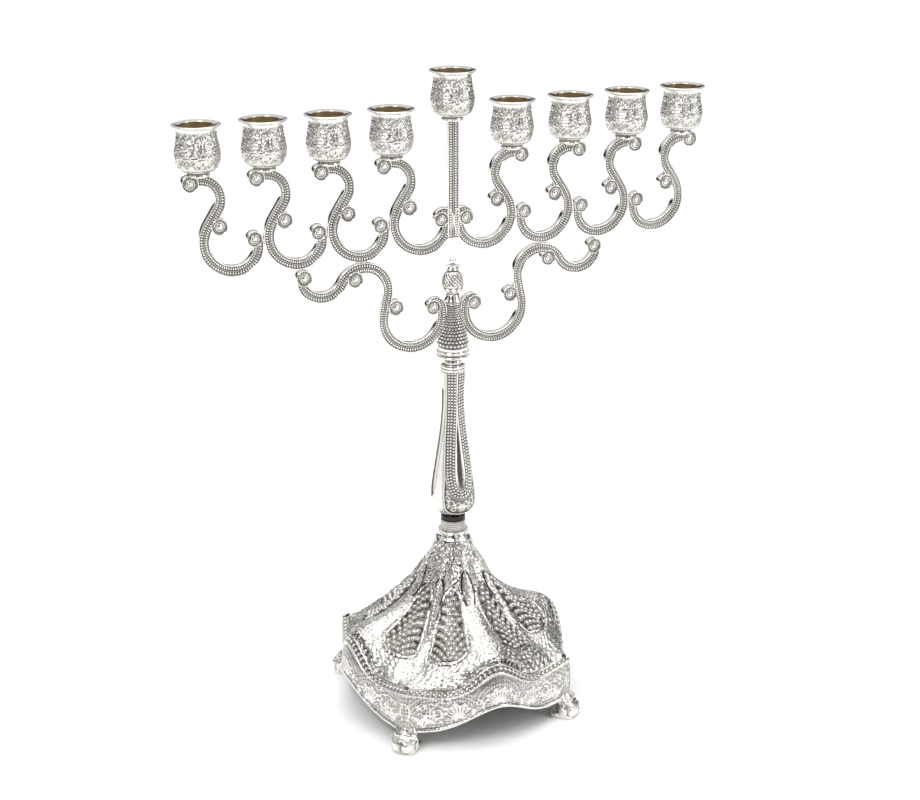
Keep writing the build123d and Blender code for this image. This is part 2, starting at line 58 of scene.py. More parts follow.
# ---------------------------------------------------------------- geometry helpers
class Geometry:
    """Vertices, faces and darkening gathered for one piece. The darkening runs from 0, bright, to 1, dark:
    tarnish in hollows, and painted shade in grooves, cuts, undercuts and round beads.
    """

    def __init__(self):
        self.verts = []
        self.faces = []
        self.tarnish_and_shade = []
        self.count = 0

    def add(self, verts, faces, tarnish_and_shade=0.0):
        verts = np.asarray(verts, float).reshape(-1, 3)
        for block in faces:
            if len(block):
                self.faces.append(np.asarray(block, np.int64) + self.count)
        self.verts.append(verts)
        self.tarnish_and_shade.append(np.broadcast_to(np.asarray(tarnish_and_shade, float).ravel(), (len(verts),)))
        self.count += len(verts)

    def grid(self, points, tarnish_and_shade=0.0, closed_columns=True, closed_rows=False):
        """A sheet of points (rows, columns, 3) that may close on itself either way."""
        rows, columns = points.shape[:2]
        index = np.arange(rows * columns).reshape(rows, columns)
        if closed_columns:
            index = np.concatenate([index, index[:, :1]], axis=1)
        if closed_rows:
            index = np.concatenate([index, index[:1]], axis=0)
        quads = np.stack([index[:-1, :-1], index[:-1, 1:], index[1:, 1:], index[1:, :-1]], -1)
        self.add(points.reshape(-1, 3), [quads.reshape(-1, 4)], tarnish_and_shade)

    def fan(self, rim, centre, flip=False):
        """Closes a ring of points with triangles to a centre."""
        count = len(rim)
        ring = np.arange(count)
        following = np.roll(ring, -1)
        middle = np.full(count, count)
        corners = [following, ring, middle] if flip else [ring, following, middle]
        self.add(np.vstack([rim, [centre]]), [np.stack(corners, -1)])

    def closed_grid(self, points, tarnish_and_shade=0.0, first=None, last=None):
        """Rings of points, closed at both ends to a centre or to the ring's own middle."""
        self.grid(points, tarnish_and_shade)
        self.fan(points[0], points[0].mean(0) if first is None else first, flip=True)
        self.fan(points[-1], points[-1].mean(0) if last is None else last)

    def stamp(self, template, places, across, outward, size=1.0):
        """Copies a small relief onto many places, each turned to its own directions."""
        points, faces, shade = template
        along = np.cross(outward, across)
        size = np.broadcast_to(np.asarray(size, float), (len(places),))[:, None, None]
        verts = (places[:, None] + size * (across[:, None] * points[None, :, 0:1]
                 + along[:, None] * points[None, :, 1:2] + outward[:, None] * points[None, :, 2:3]))
        step = (np.arange(len(places)) * len(points))[:, None, None]
        blocks = [(block[None] + step).reshape(-1, block.shape[1]) for block in faces]
        self.add(verts.reshape(-1, 3), blocks, np.tile(shade, len(places)))

    def piece(self, name, material, body=ROOT, replaces=()):
        """Makes the Blender object, lets it ride on its body and hides the CAD parts that it stands in for.
        """
        verts = np.concatenate(self.verts) * MM
        sizes = np.concatenate([np.full(len(block), block.shape[1]) for block in self.faces])
        mesh = bpy.data.meshes.new(name)
        mesh.vertices.add(len(verts))
        mesh.vertices.foreach_set("co", verts.astype(np.float32).ravel())
        corners = np.concatenate([block.ravel() for block in self.faces])
        mesh.loops.add(len(corners))
        mesh.loops.foreach_set("vertex_index", corners.astype(np.int32))
        mesh.polygons.add(len(sizes))
        starts = np.concatenate([[0], np.cumsum(sizes)[:-1]])
        mesh.polygons.foreach_set("loop_start", starts.astype(np.int32))
        mesh.polygons.foreach_set("use_smooth", np.ones(len(sizes), bool))
        mesh.update(calc_edges=True)
        # the darkening, tarnish and painted shade in one, becomes a point attribute that the metals read
        mesh.attributes.new("tarnish_and_shade", "FLOAT", "POINT")
        shade = np.clip(np.concatenate(self.tarnish_and_shade), 0, 1).astype(np.float32)
        mesh.attributes["tarnish_and_shade"].data.foreach_set("value", shade)
        mesh.validate()
        mesh.materials.append(material)
        obj = bpy.data.objects.new(name, mesh)
        bpy.context.scene.collection.objects.link(obj)
        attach(obj, body)
        if replaces:
            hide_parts(*replaces)
        return obj


def unit(vectors):
    return vectors / np.maximum(np.linalg.norm(vectors, axis=-1, keepdims=True), 1e-12)


def polar(centre, radius, angle):
    """Flat points at radii and angles in radians round a centre."""
    return np.stack([centre[0] + radius * np.cos(angle), centre[1] + radius * np.sin(angle)], -1)


def round_axis(angle):
    """Outward and sideways directions at angles round the vertical axis."""
    level = np.zeros_like(angle)
    outward = np.stack([np.cos(angle), np.sin(angle), level], -1)
    return outward, np.stack([-np.sin(angle), np.cos(angle), level], -1)


def full_turn(count):
    return np.linspace(0, 2 * math.pi, count, endpoint=False)


def steps_along(points):
    """Distance of each point of a polyline from its first."""
    return np.concatenate([[0], np.cumsum(np.linalg.norm(np.diff(points, axis=0), axis=1))])


def length_of(curve):
    return float(steps_along(np.asarray(curve, float))[-1])


def rounded(points, radius, steps=4):
    """A polyline with its corners turned into short curves of about a radius."""
    points = np.asarray(points, float)
    result = [points[0]]
    for before, corner, after in zip(points, points[1:], points[2:]):
        into = before - corner
        out = after - corner
        reach = min(radius, 0.49 * np.linalg.norm(into), 0.49 * np.linalg.norm(out))
        start = corner + unit(into) * reach
        end = corner + unit(out) * reach
        for share in np.linspace(0, 1, steps + 1):
            result.append((1 - share) ** 2 * start + 2 * share * (1 - share) * corner + share ** 2 * end)
    result.append(points[-1])
    return np.array(result)


def resample(points, count):
    """Points at even distances along a polyline."""
    points = np.asarray(points, float)
    length = steps_along(points)
    at = np.linspace(0, length[-1], count)
    return np.stack([np.interp(at, length, points[:, k]) for k in range(points.shape[1])], -1)


def catmull_rom(points, steps):
    """A smooth curve through points, with a number of steps between each two."""
    points = np.asarray(points, float)
    padded = np.vstack([2 * points[0] - points[1], points, 2 * points[-1] - points[-2]])
    share = np.linspace(0, 1, steps, endpoint=False)[:, None]
    fine = [0.5 * (2 * b + (c - a) * share + (2 * a - 5 * b + 4 * c - d) * share ** 2
                   + (3 * b - a - 3 * c + d) * share ** 3)
            for a, b, c, d in zip(padded, padded[1:], padded[2:], padded[3:])]
    return np.vstack(fine + [points[-1:]])


def smooth_curve(points, count):
    """A smooth curve through points, resampled evenly."""
    return resample(catmull_rom(points, 12), count)


def turned_ring(geometry, profile, segments, centre):
    """A turned ring from a closed outline of (radius, height)."""
    flat = polar(centre, profile[:, 0:1], full_turn(segments))
    level = np.broadcast_to(profile[:, 1:2, None], (*flat.shape[:2], 1))
    geometry.grid(np.concatenate([flat, level], -1), closed_rows=True)


def turned(geometry, profile, height, tarnish_and_shade, centre=(0, 0)):
    """A turned solid, from the axis below to the axis above, raised along its normal by a relief."""
    along = unit(np.gradient(profile, axis=0))[1:-1]
    radius = profile[1:-1, 0:1] + along[:, 1:2] * height
    level = profile[1:-1, 1:2] - along[:, 0:1] * height
    flat = polar(centre, radius, full_turn(height.shape[1]))
    points = np.concatenate([flat, level[..., None]], -1)
    geometry.closed_grid(points, tarnish_and_shade, (*centre, profile[0, 1]), (*centre, profile[-1, 1]))


def turned_relief(outline, shade, segments):
    """A small round relief of radius 1, from its rim up to its top, with a darkening for each ring, which
    the beads use for painted shade.
    """
    outline = np.array(outline)
    flat = polar((0, 0), outline[:-1, 0:1], full_turn(segments))
    level = np.broadcast_to(outline[:-1, 1:2, None], (*flat.shape[:2], 1))
    points = np.concatenate([flat, level], -1)
    geometry = Geometry()
    geometry.grid(points, np.repeat(shade, segments))
    geometry.fan(points[-1], (0, 0, outline[-1, 1]))
    return np.concatenate(geometry.verts), geometry.faces, np.concatenate(geometry.tarnish_and_shade)


def dome(segments=10, rings=3):
    """A bead: half a ball of radius 1, open underneath where it sits on the metal, with painted shade round
    its foot that fades out towards its bright top.
    """
    rise = np.linspace(0, math.pi / 2, rings + 1)
    outline = np.stack([np.cos(rise), np.sin(rise)], -1)
    return turned_relief(outline, 0.9 * (1 - np.sin(rise[:-1])), segments)


def scaled(template, scale):
    points, faces, shade = template
    return points * scale, faces, shade


# a round bead inside a raised ring, and a grain on a low flat rim; their shade is painted shade, dark at the
# foot, on the flanks and in the ring's groove, and bright on the tops
RING_OUTLINE = [(1.0, -0.2), (0.99, 0.12), (0.9, 0.22), (0.8, 0.16), (0.72, -0.02), (0.64, -0.05),
                (0.58, 0.2), (0.44, 0.46), (0.22, 0.62), (0, 0.66)]
RING_SHADE = [1.0, 0.7, 0.1, 0.3, 1.0, 1.0, 0.75, 0.1, 0.0]
GRANULE_OUTLINE = [(1.05, 0.02), (0.72, 0.05), (0.5, 0.42), (0, 0.62)]
GRANULE_SHADE = [0.75, 1.0, 0.1]
BEAD = dome()
SMALL_BEAD = dome(8, 2)
RINGED = turned_relief(RING_OUTLINE, RING_SHADE, 14)
GRANULE = turned_relief(GRANULE_OUTLINE, GRANULE_SHADE, 7)


class Engraving:
    """Raised lines on a flat drawing. It tells how far any point is from the nearest line."""

    def __init__(self, curves, spacing=0.12):
        points = [resample(curve, max(2, int(length_of(curve) / spacing))) for curve in curves]
        points = np.concatenate(points)
        self.tree = KDTree(len(points))
        for index, (x, y) in enumerate(points):
            self.tree.insert((x, y, 0), index)
        self.tree.balance()

    def distance(self, x, y):
        flat = zip(np.ravel(x), np.ravel(y))
        return np.array([self.tree.find((a, b, 0))[2] for a, b in flat]).reshape(np.shape(x))


def ridge(distance, width):
    """1 on a line, falling smoothly to 0 at a width from it."""
    share = np.clip(distance / width, 0, 1)
    return (1 - share ** 2) ** 2


def step_between(value, low, high):
    """0 at a low value, rising smoothly to 1 at a high one, or falling where low is above high."""
    share = np.clip((value - low) / (high - low), 0, 1)
    return share * share * (3 - 2 * share)


def wave(value, pitch):
    """A smooth wave between 0 and 1 that repeats at a pitch."""
    return 0.5 + 0.5 * np.cos(value * 2 * math.pi / pitch)


def arc(centre, radius, start, end, count=24):
    """Points on a circle from one angle to another, in degrees."""
    return polar(centre, radius, np.radians(np.linspace(start, end, count)))


def spiral(centre, outer, inner, start, turns, count=60):
    """A scroll that winds in from an outer radius, starting at an angle in degrees."""
    angle = np.radians(start + 360 * turns * np.linspace(0, 1, count))
    return polar(centre, np.linspace(outer, inner, count), angle)


def mirrored(curves):
    """The curves and their mirror images about x = 0."""
    return curves + [np.asarray(curve) * (-1, 1) for curve in curves]


# ---------------------------------------------------------------- materials
class Shading:
    """Adds shader nodes to a tree. An input given as a socket is linked, any other value is set."""

    def __init__(self, owner):
        owner.use_nodes = True
        self.tree = owner.node_tree

    def join(self, socket, value):
        if isinstance(value, bpy.types.NodeSocket):
            self.tree.links.new(value, socket)
        else:
            socket.default_value = value

    def node(self, kind, output, inputs=(), **settings):
        """The output socket of a new node, with its inputs and settings given by name."""
        node = self.tree.nodes.new("ShaderNode" + kind)
        for name, value in settings.items():
            setattr(node, name, value)
        for name, value in dict(inputs).items():
            self.join(node.inputs[name], value)
        return node.outputs[output]

    def maths(self, operation, *values, clamp=False):
        return self.node("Math", "Value", enumerate(values), operation=operation, use_clamp=clamp)

    def finish(self, kind, inputs):
        """Fills inputs of the shader that every new tree has."""
        for name, value in inputs.items():
            self.join(self.tree.nodes[kind].inputs[name], value)


TARNISH_AND_SHADE_ROUGHNESS = 0.5
CLOUD_SCALE = 60
POLISH_SCALE = 900
SLIGHT_YELLOW = (0.93, 0.92, 0.88)


def metal(name, bright, dark, roughness, grain, grain_scale, pits=0.0):
    """A metal with slow colour and polish variation, cast grain, and a darkening from a point attribute:
    tarnish in recesses and painted shade.
    """
    material = bpy.data.materials.new(name)
    shading = Shading(material)
    node = shading.node
    place = node("TexCoord", "Object")
    cloud = node("TexNoise", "Fac", {"Scale": CLOUD_SCALE, "Detail": 5, "Vector": place})
    fine = node("TexNoise", "Fac", {"Scale": POLISH_SCALE, "Detail": 3, "Vector": place})
    grains = node("TexVoronoi", "Distance", {"Scale": grain_scale, "Vector": place})
    # the darkening, tarnish and painted shade together, gathers unevenly where the cloud lets it, and fills
    # the pits between the grains
    stain_and_shade = node("Attribute", "Fac", attribute_name="tarnish_and_shade")
    uneven = node("MapRange", "Result", {"To Min": 0.75, "To Max": 1.2, "Value": cloud})
    amount = shading.maths("MULTIPLY", stain_and_shade, uneven, clamp=True)
    hollows = node("MapRange", "Result",
                   {"From Min": 0.5, "From Max": 0.8, "To Max": pits, "Value": grains})
    total = shading.maths("ADD", amount, hollows, clamp=True)
    warm = tuple(np.multiply(bright, SLIGHT_YELLOW))
    tint = node("Mix", "Result", {"A": (*bright, 1), "B": (*warm, 1), "Factor": cloud}, data_type="RGBA")
    colour = node("Mix", "Result", {"A": tint, "B": (*dark, 1), "Factor": total}, data_type="RGBA")
    polish = node("MapRange", "Result",
                  {"To Min": roughness * 0.7, "To Max": roughness * 1.35, "Value": fine})
    dulled = node("Mix", "Result", {"A": polish, "B": TARNISH_AND_SHADE_ROUGHNESS, "Factor": total}, data_type="FLOAT")
    normal = node("Bump", "Normal", {"Strength": 1.0, "Distance": grain * MM, "Height": grains})
    shading.finish("Principled BSDF", {"Metallic": 1.0, "Base Color": colour, "Roughness": dulled,
                                       "Normal": normal})
    return material


# the dark colours show where the darkening is full: tarnish, and painted shade in grooves and round beads
DARK_SILVER = (0.022, 0.018, 0.013)
SOFT_TARNISH_AND_SHADE = (0.06, 0.053, 0.042)
BRIGHT_SILVER = (0.86, 0.845, 0.815)
polished = metal("silver_polished", BRIGHT_SILVER, DARK_SILVER, 0.09, 0.004, 500)
# a nearly black silver for the neck ring: its black is a painted dark reflection, and its highlights come
# from the lamps
painted_dark_silver = metal("silver_painted_dark", (0.04, 0.038, 0.035), DARK_SILVER, 0.12, 0.004, 500)
beaded = metal("silver_beaded", BRIGHT_SILVER, SOFT_TARNISH_AND_SHADE, 0.14, 0.02, 1500)
draped = metal("silver_draped", BRIGHT_SILVER, SOFT_TARNISH_AND_SHADE, 0.15, 0.2, 780, 0.45)
chased = metal("silver_chased", BRIGHT_SILVER, SOFT_TARNISH_AND_SHADE, 0.15, 0.12, 820, 0.12)
brass = metal("brass_satin", (0.62, 0.52, 0.34), (0.2, 0.15, 0.08), 0.34, 0.02, 900)
steel = metal("steel_plain", (0.55, 0.55, 0.56), (0.2, 0.2, 0.2), 0.3, 0.02, 900)


# ---------------------------------------------------------------- scroll branches
BAND_HALF_WIDTH = 2.65
VOLUTE_RADIUS = 4.0
END_VOLUTE_RADIUS = 3.8
CROWN_RADIUS = 9.3
CROWN_DROP = 35.0
BOWL_RADIUS = 14.3
BOWL_INNER_RADIUS = 11.4
CENTRE_BOWL_INNER_RADIUS = 13.4
BOWL_OFFSET = 14.95
BOWL_DROP = 55.35
BEAD_PITCH = 1.15
BEAD_TRACK = 0.42           # of the half width, from the middle of the band to a row of beads
BAND_STEP = 0.55
LADDER_BEAD = scaled(BEAD, (0.86, 0.5, 0.52))

# One face of the band, edge to edge: share of the half width, height over the mid plane, and darkening,
# which is painted shade on the sunk face and beside the raised middle line, with the rims bright
BAND_FACE = [(-1.0, 1.2, 0.0), (-0.97, 1.47, 0.0), (-0.90, 1.6, 0.0), (-0.81, 1.55, 0.1),
             (-0.75, 1.16, 0.9), (-0.42, 1.06, 0.8), (-0.08, 1.14, 0.95), (0.0, 1.3, 0.2),
             (0.08, 1.14, 0.95), (0.42, 1.06, 0.8), (0.75, 1.16, 0.9), (0.81, 1.55, 0.1),
             (0.90, 1.6, 0.0), (0.97, 1.47, 0.0), (1.0, 1.2, 0.0)]


def crossing_angles(first, first_radius, second, second_radius):
    """Directions to the tangent points of the straight that crosses between two circles."""
    gap = np.subtract(second, first)
    lean = math.degrees(math.acos(min(1, (first_radius + second_radius) / np.linalg.norm(gap))))
    angle = math.degrees(math.atan2(gap[1], gap[0])) - lean
    return angle, angle + 180


def branch_frame(path):
    """Leftward directions along a path in the plane of the row."""
    tangent = unit(np.gradient(path, axis=0))
    return np.stack([-tangent[:, 1], tangent[:, 0]], -1)


def in_row_plane(flat, y=0.0):
    """Flat points (x, z) as points in space, at one distance from the row's middle plane."""
    flat = np.asarray(flat, float)
    return np.stack([flat[..., 0], np.full(flat.shape[:-1], y), flat[..., 1]], -1)


def beaded_band(geometry, path, half_width, thickness_scale=1.0):
    """A flat band with raised rims and two rows of beads on its front and back."""
    length = length_of(path)
    path = resample(path, int(length / BAND_STEP))
    left = branch_frame(path)
    half = half_width(len(path))
    face = np.array(BAND_FACE)
    outline = np.vstack([face[::-1] * (1, -1, 1), face])
    across = path[:, None] + left[:, None] * (outline[None, :, 0:1] * half[:, None, None])
    level = np.broadcast_to(outline[:, 1] * thickness_scale, across.shape[:2])
    points = np.stack([across[..., 0], level, across[..., 1]], -1)
    geometry.closed_grid(points, np.tile(outline[:, 2], len(path)))
    beads = resample(path, int(length / BEAD_PITCH))[1:-1]
    bead_left = branch_frame(beads)
    widths = np.interp(np.linspace(0, 1, len(beads)), np.linspace(0, 1, len(half)), half)
    for facing in (-1, 1):
        for row in (-BEAD_TRACK, BEAD_TRACK):
            centre = beads + bead_left * (row * widths)[:, None]
            places = in_row_plane(centre, facing * 1.04 * thickness_scale)
            across_axis = in_row_plane(bead_left)
            outward = np.broadcast_to((0.0, facing, 0.0), across_axis.shape)
            geometry.stamp(LADDER_BEAD, places, across_axis, outward, widths / BAND_HALF_WIDTH)


# A volute from its rim in: share of the radius, height over the mid plane
VOLUTE_FACE = np.array([
    (1.0, 0.0), (1.0, 1.7), (0.98, 1.95), (0.94, 2.1), (0.89, 2.05), (0.85, 1.75), (0.81, 1.55),
    (0.77, 1.75), (0.73, 1.85), (0.68, 1.65), (0.62, 1.55), (0.56, 1.6), (0.5, 1.65), (0.44, 1.7),
    (0.38, 1.75), (0.32, 1.75), (0.26, 1.8), (0.2, 1.95), (0.14, 2.1), (0.07, 2.2)])
VOLUTE_COLUMNS = 64
VOLUTE_TOP = 2.25
ROPE_TWISTS = 16
COIL_PITCH = 0.22           # of the radius


def volute(geometry, centre, radius, turn):
    """A round scroll end: a bright rim, a rope border and a spiral around a boss, with painted shade on the
    face between the coil and the rope's twists.
    """
    share, level = VOLUTE_FACE.T
    angle = full_turn(VOLUTE_COLUMNS)
    twist = np.sin(ROPE_TWISTS * angle[None]) * ridge(np.abs(share - 0.75), 0.1)[:, None]
    winding = 0.2 + COIL_PITCH * ((turn * angle[None] / (2 * math.pi)) % 1.0)
    coil = np.zeros((len(share), VOLUTE_COLUMNS))
    for lap in range(2):
        coil = np.maximum(coil, ridge(np.abs(share[:, None] - winding - COIL_PITCH * lap), 0.09))
    coil = coil * ((share < 0.66) & (share > 0.1))[:, None]
    height = level[:, None] + 0.22 * twist + 0.32 * coil
    # painted shade: the face is dark, lighter on the raised coil and the twists' tops, and the rim and boss
    # stay bright
    shade = np.clip(0.85 - 0.9 * coil - 0.72 * np.maximum(twist, 0), 0, 1)
    shade[:4] = 0
    shade[4] = 0.2
    shade[-3:] = 0
    ring = polar(centre, radius * share[:, None], angle)
    back = np.stack([ring[..., 0], height, ring[..., 1]], -1)[:0:-1]
    front = np.stack([ring[..., 0], -height, ring[..., 1]], -1)
    geometry.closed_grid(np.vstack([back, front]), np.vstack([shade[:0:-1], shade]),
                         (centre[0], VOLUTE_TOP, centre[1]), (centre[0], -VOLUTE_TOP, centre[1]))


def curl(centre, touch, sweep, inner=1.7, count=30):
    """A path that winds from a band's end over the top of a volute, turning by a sweep in degrees."""
    offset = np.subtract(touch, centre)
    share = np.linspace(0, 1, count)
    radius = np.linalg.norm(offset) * (1 - share) + inner * share
    return polar(centre, radius, math.atan2(offset[1], offset[0]) + math.radians(sweep) * share)


def tapered(start, path, slim=0.42):
    """Half widths along a path whose first stretch, a curl, comes in slim."""
    share = length_of(start) / length_of(path)
    return lambda count: BAND_HALF_WIDTH * np.interp(
        np.linspace(0, 1, count), [0, share, 0.94, 1], [slim, 1, 1, 0.7])


def mirror_row(geometry):
    """Turns a right-hand branch into a left-hand one."""
    geometry.verts = [verts * (-1, 1, 1) for verts in geometry.verts]
    geometry.faces = [block[:, ::-1] for block in geometry.faces]


def light_place(place):
    """X of a light's axis and the height of its nozzle's rim."""
    low, high = box_mm(f"nozzle_{place}")
    return (low[0] + high[0]) / 2, high[2]


# the three volutes of an S-scroll, from its light: across, up from the rim, radius, turn
UPPER_VOLUTES = [(-24.5, -55.3, END_VOLUTE_RADIUS, 1), (-8.2, -48.0, VOLUTE_RADIUS, -1),
                 (4.5, -27.0, VOLUTE_RADIUS, 1)]
# where a scroll's inner end starts and how far it curls over, in degrees
FIRST_START, FIRST_CURL = -194, -170
OTHER_START, OTHER_CURL = -186, -120
CROWN_END = 58


def upper_scroll(place):
    """The S-scroll under one light of the row."""
    x, rim = light_place(place)
    light_x = abs(x)
    # the first scroll on each side meets the centre post
    first = place.endswith("_1")
    crown = (light_x, rim - CROWN_DROP)
    bowl = (light_x - BOWL_OFFSET, rim - BOWL_DROP)
    inner_radius = CENTRE_BOWL_INNER_RADIUS if first else BOWL_INNER_RADIUS
    inner = (bowl[0], bowl[1] - BOWL_RADIUS + inner_radius)
    leave, arrive = crossing_angles(bowl, BOWL_RADIUS, crown, CROWN_RADIUS)
    volutes = [((light_x + across, rim + up), radius, turn) for across, up, radius, turn in UPPER_VOLUTES]
    inward = arc(inner, inner_radius, FIRST_START if first else OTHER_START, -90)
    over = curl(volutes[0][0], inward[0], FIRST_CURL if first else OTHER_CURL)[::-1]
    path = np.vstack([over[:-1], inward, arc(bowl, BOWL_RADIUS, -90, leave)[1:],
                      arc(crown, CROWN_RADIUS, arrive, CROWN_END)])
    geometry = Geometry()
    beaded_band(geometry, path, tapered(over, path))
    for centre, radius, turn in volutes:
        volute(geometry, centre, radius, turn)
    if x < 0:
        mirror_row(geometry)
    return geometry.piece(f"scroll_{place}", beaded, replaces=[f"upper_branch_{place}"])


HUB_BOWL = (21.4, 211.2)
HUB_BOWL_RADIUS = 15.3
SHOULDER = (46.5, 226.5)
SHOULDER_RADIUS = 12.3
OUTER_BOWL = (67.0, 237.5)
LOWER_VOLUTES = [(10.9, 215.2), (30.3, 217.2), (50.8, 233.6), (76.2, 237.0)]
HUB_START, HUB_CURL = 168, -190     # degrees, where it meets the column and how far it curls over
OUTER_END = 366


def lower_scroll(side_name):
    """The double scroll from the column out to the row."""
    leave, arrive = crossing_angles(HUB_BOWL, HUB_BOWL_RADIUS, SHOULDER, SHOULDER_RADIUS)
    gap = np.subtract(OUTER_BOWL, SHOULDER)
    swing = math.degrees(math.atan2(gap[1], gap[0]))
    outer_radius = np.linalg.norm(gap) - SHOULDER_RADIUS
    hub = arc(HUB_BOWL, HUB_BOWL_RADIUS, HUB_START, 360 + leave, 60)
    over = curl(LOWER_VOLUTES[0], hub[0], HUB_CURL)[::-1]
    path = np.vstack([over[:-1], hub, arc(SHOULDER, SHOULDER_RADIUS, arrive, swing, 50),
                      arc(OUTER_BOWL, outer_radius, swing + 180, OUTER_END, 50)[1:]])
    geometry = Geometry()
    beaded_band(geometry, path, tapered(over, path))
    for index, centre in enumerate(LOWER_VOLUTES):
        radius = END_VOLUTE_RADIUS if index == 0 else VOLUTE_RADIUS
        volute(geometry, centre, radius, -1 if index % 2 else 1)
    if side_name == "left":
        mirror_row(geometry)
    return geometry.piece(f"double_scroll_{side_name}", beaded,
                          replaces=[f"lower_branch_{side_name}"])


def centre_post():
    """The straight beaded post of the centre light."""
    low, high = box_mm("centre_post")
    geometry = Geometry()
    path = np.array([(0, low[2] + 2.0), (0, high[2] - 0.05)])
    half = (high[0] - low[0]) / 2
    beaded_band(geometry, path, lambda count: np.full(count, half), 0.93)
    return geometry.piece("beaded_post", beaded, replaces=["centre_post"])


for place in LIGHTS:
    if place != "centre":
        upper_scroll(place)
for side_name in ("left", "right"):
    lower_scroll(side_name)
centre_post()


# ---------------------------------------------------------------- candle cups and nozzles


CUP_PROFILE = [(6.3, -21.6), (7.9, -20.9), (9.1, -19.2), (10.0, -16.5), (10.25, -13.5),
               (9.85, -10.5), (9.15, -7.0), (8.95, -4.2), (9.35, -2.6), (9.9, -1.35)]
CUP_SEGMENTS = 160
CUP_ROWS = 74
CUP_QUARTER = 15.7          # unrolled width of a quarter of the cup


def cup_curves():
    """One quarter of the cup's chased scrollwork: x across, y up from the rim."""
    curves = [arc((0, -11.4), 3.3, 0, 360)]
    # cartouche: a stepped tower of bars under a small crown of three arcs
    for level, half in ((-9.0, 1.7), (-10.5, 2.2), (-12.0, 2.3), (-13.5, 1.8)):
        curves.append([(-half, level), (half, level)])
    for x in (-1.2, 0.0, 1.2):
        curves.append(arc((x, -8.4), 0.7, 0, 180, 8))
    side = [spiral((5.0, -8.4), 1.9, 0.4, 200, 1.4), spiral((5.4, -13.0), 2.1, 0.4, -160, -1.4),
            arc((3.6, -16.6), 2.4, -20, 120), arc((6.6, -17.2), 2.0, 60, 190),
            spiral((2.6, -18.6), 1.2, 0.3, 90, 1.2), [(7.85, -6.2), (7.85, -11.0)],
            arc((7.85, -13.0), 1.1, 90, 270, 10), arc((1.96, -5.6), 1.9, 190, 350, 12),
            arc((5.89, -5.6), 1.9, 190, 350, 12), [(7.85, -14.6), (6.9, -16.4), (7.85, -18.6)],
            arc((1.96, -5.4), 0.9, 190, 350, 8), arc((5.89, -5.4), 0.9, 190, 350, 8),
            arc((3.9, -3.9), 1.0, 180, 360, 8), arc((0, -3.9), 1.0, 270, 360, 6),
            spiral((3.2, -10.6), 0.9, 0.3, 90, -1.1), spiral((7.0, -15.4), 0.8, 0.3, 0, 1.0),
            smooth_curve([(2.2, -15.0), (3.9, -14.4), (4.6, -15.6)], 10)]
    for petal in range(5):
        middle = 0.8 + 1.57 * petal
        side.append(arc((middle, -20.0), 0.75, 0, 180, 8))
    return curves + mirrored(side)


def cup_relief():
    """Relief and darkening of the cup's outside, which all nine share: the ground between the raised lines
    is darker, most in its pebbling's dips, as tarnish and painted shade.
    """
    outline = smooth_curve(CUP_PROFILE, CUP_ROWS)
    quarter = Engraving(cup_curves())
    angle = np.linspace(-45, 45, CUP_SEGMENTS // 4, endpoint=False) + 90 / (CUP_SEGMENTS / 2)
    x = np.broadcast_to(angle / 90 * CUP_QUARTER, (CUP_ROWS, len(angle)))
    y = np.broadcast_to(outline[:, 1:2], x.shape)
    near = quarter.distance(x, y)
    raised = ridge(near, 0.5)
    inside = step_between(-y, 2.4, 3.4) * step_between(-y, 21.3, 20.6)
    pebbles = np.sin(x * 4.6 + 1.6 * np.sin(y * 1.9)) * np.sin(y * 4.9 + 1.5 * np.sin(x * 1.7))
    height = inside * (0.42 * raised - 0.12 + 0.13 * pebbles * (1 - raised))
    # tarnish with painted shade: the ground is darkened between the raised lines, most in the pebbles' dips
    shade = inside * (1 - raised) * np.clip(0.5 - 0.6 * pebbles, 0, 1)
    return outline, np.tile(height, 4), np.tile(shade, 4)


CUP_BORE = 8.05
CUP_BOTTOM = -24.0
CUP_FLOOR = -17.0


def cup(place, outline, height, shade):
    """One cup on its stepped foot, hollow down to a floor that the nozzle's tube stands over."""
    x, rim = light_place(place)
    foot = rounded([(0.3, CUP_BOTTOM), (5.0, CUP_BOTTOM), (5.5, -23.3), (5.0, -22.4), (5.4, -21.8)], 0.4, 3)
    inside = [(CUP_BORE + 0.2, -1.4), (CUP_BORE, -1.6), (CUP_BORE, -5.0), (CUP_BORE, CUP_FLOOR + 0.3),
              (CUP_BORE - 0.3, CUP_FLOOR), (0.3, CUP_FLOOR)]
    profile = np.vstack([[(0, CUP_BOTTOM)], foot, outline, inside, [(0, CUP_FLOOR)]]) + (0, rim)
    relief = np.zeros((len(profile) - 2, CUP_SEGMENTS))
    tarnish_and_shade = np.zeros_like(relief)
    first = len(foot)
    relief[first:first + len(outline)] = height
    tarnish_and_shade[first:first + len(outline)] = shade
    tarnish_and_shade[first - 4:first] = 0.8
    geometry = Geometry()
    turned(geometry, profile, relief, tarnish_and_shade, (x, 0))
    return geometry.piece(f"chased_cup_{place}", chased, replaces=[f"cup_{place}"])


NOZZLE_SEGMENTS = 96
FLANGE_OUTLINE = [(7.55, -0.55), (7.55, -0.9), (7.82, -0.95), (7.82, -3.0), (7.9, -3.0), (7.9, -1.3),
                  (8.15, -1.29), (10.3, -1.28), (11.15, -0.8), (11.15, -0.35), (10.3, -0.02),
                  (8.2, -0.3), (7.6, -0.42), (7.55, -0.55)]
LINER_OUTLINE = [(0, -15.2), (7.6, -15.2), (7.8, -15.0), (7.8, -0.95), (7.6, -0.55), (7.45, -0.5),
                 (7.4, -0.7), (7.4, -14.4), (7.2, -14.6), (0, -14.6)]


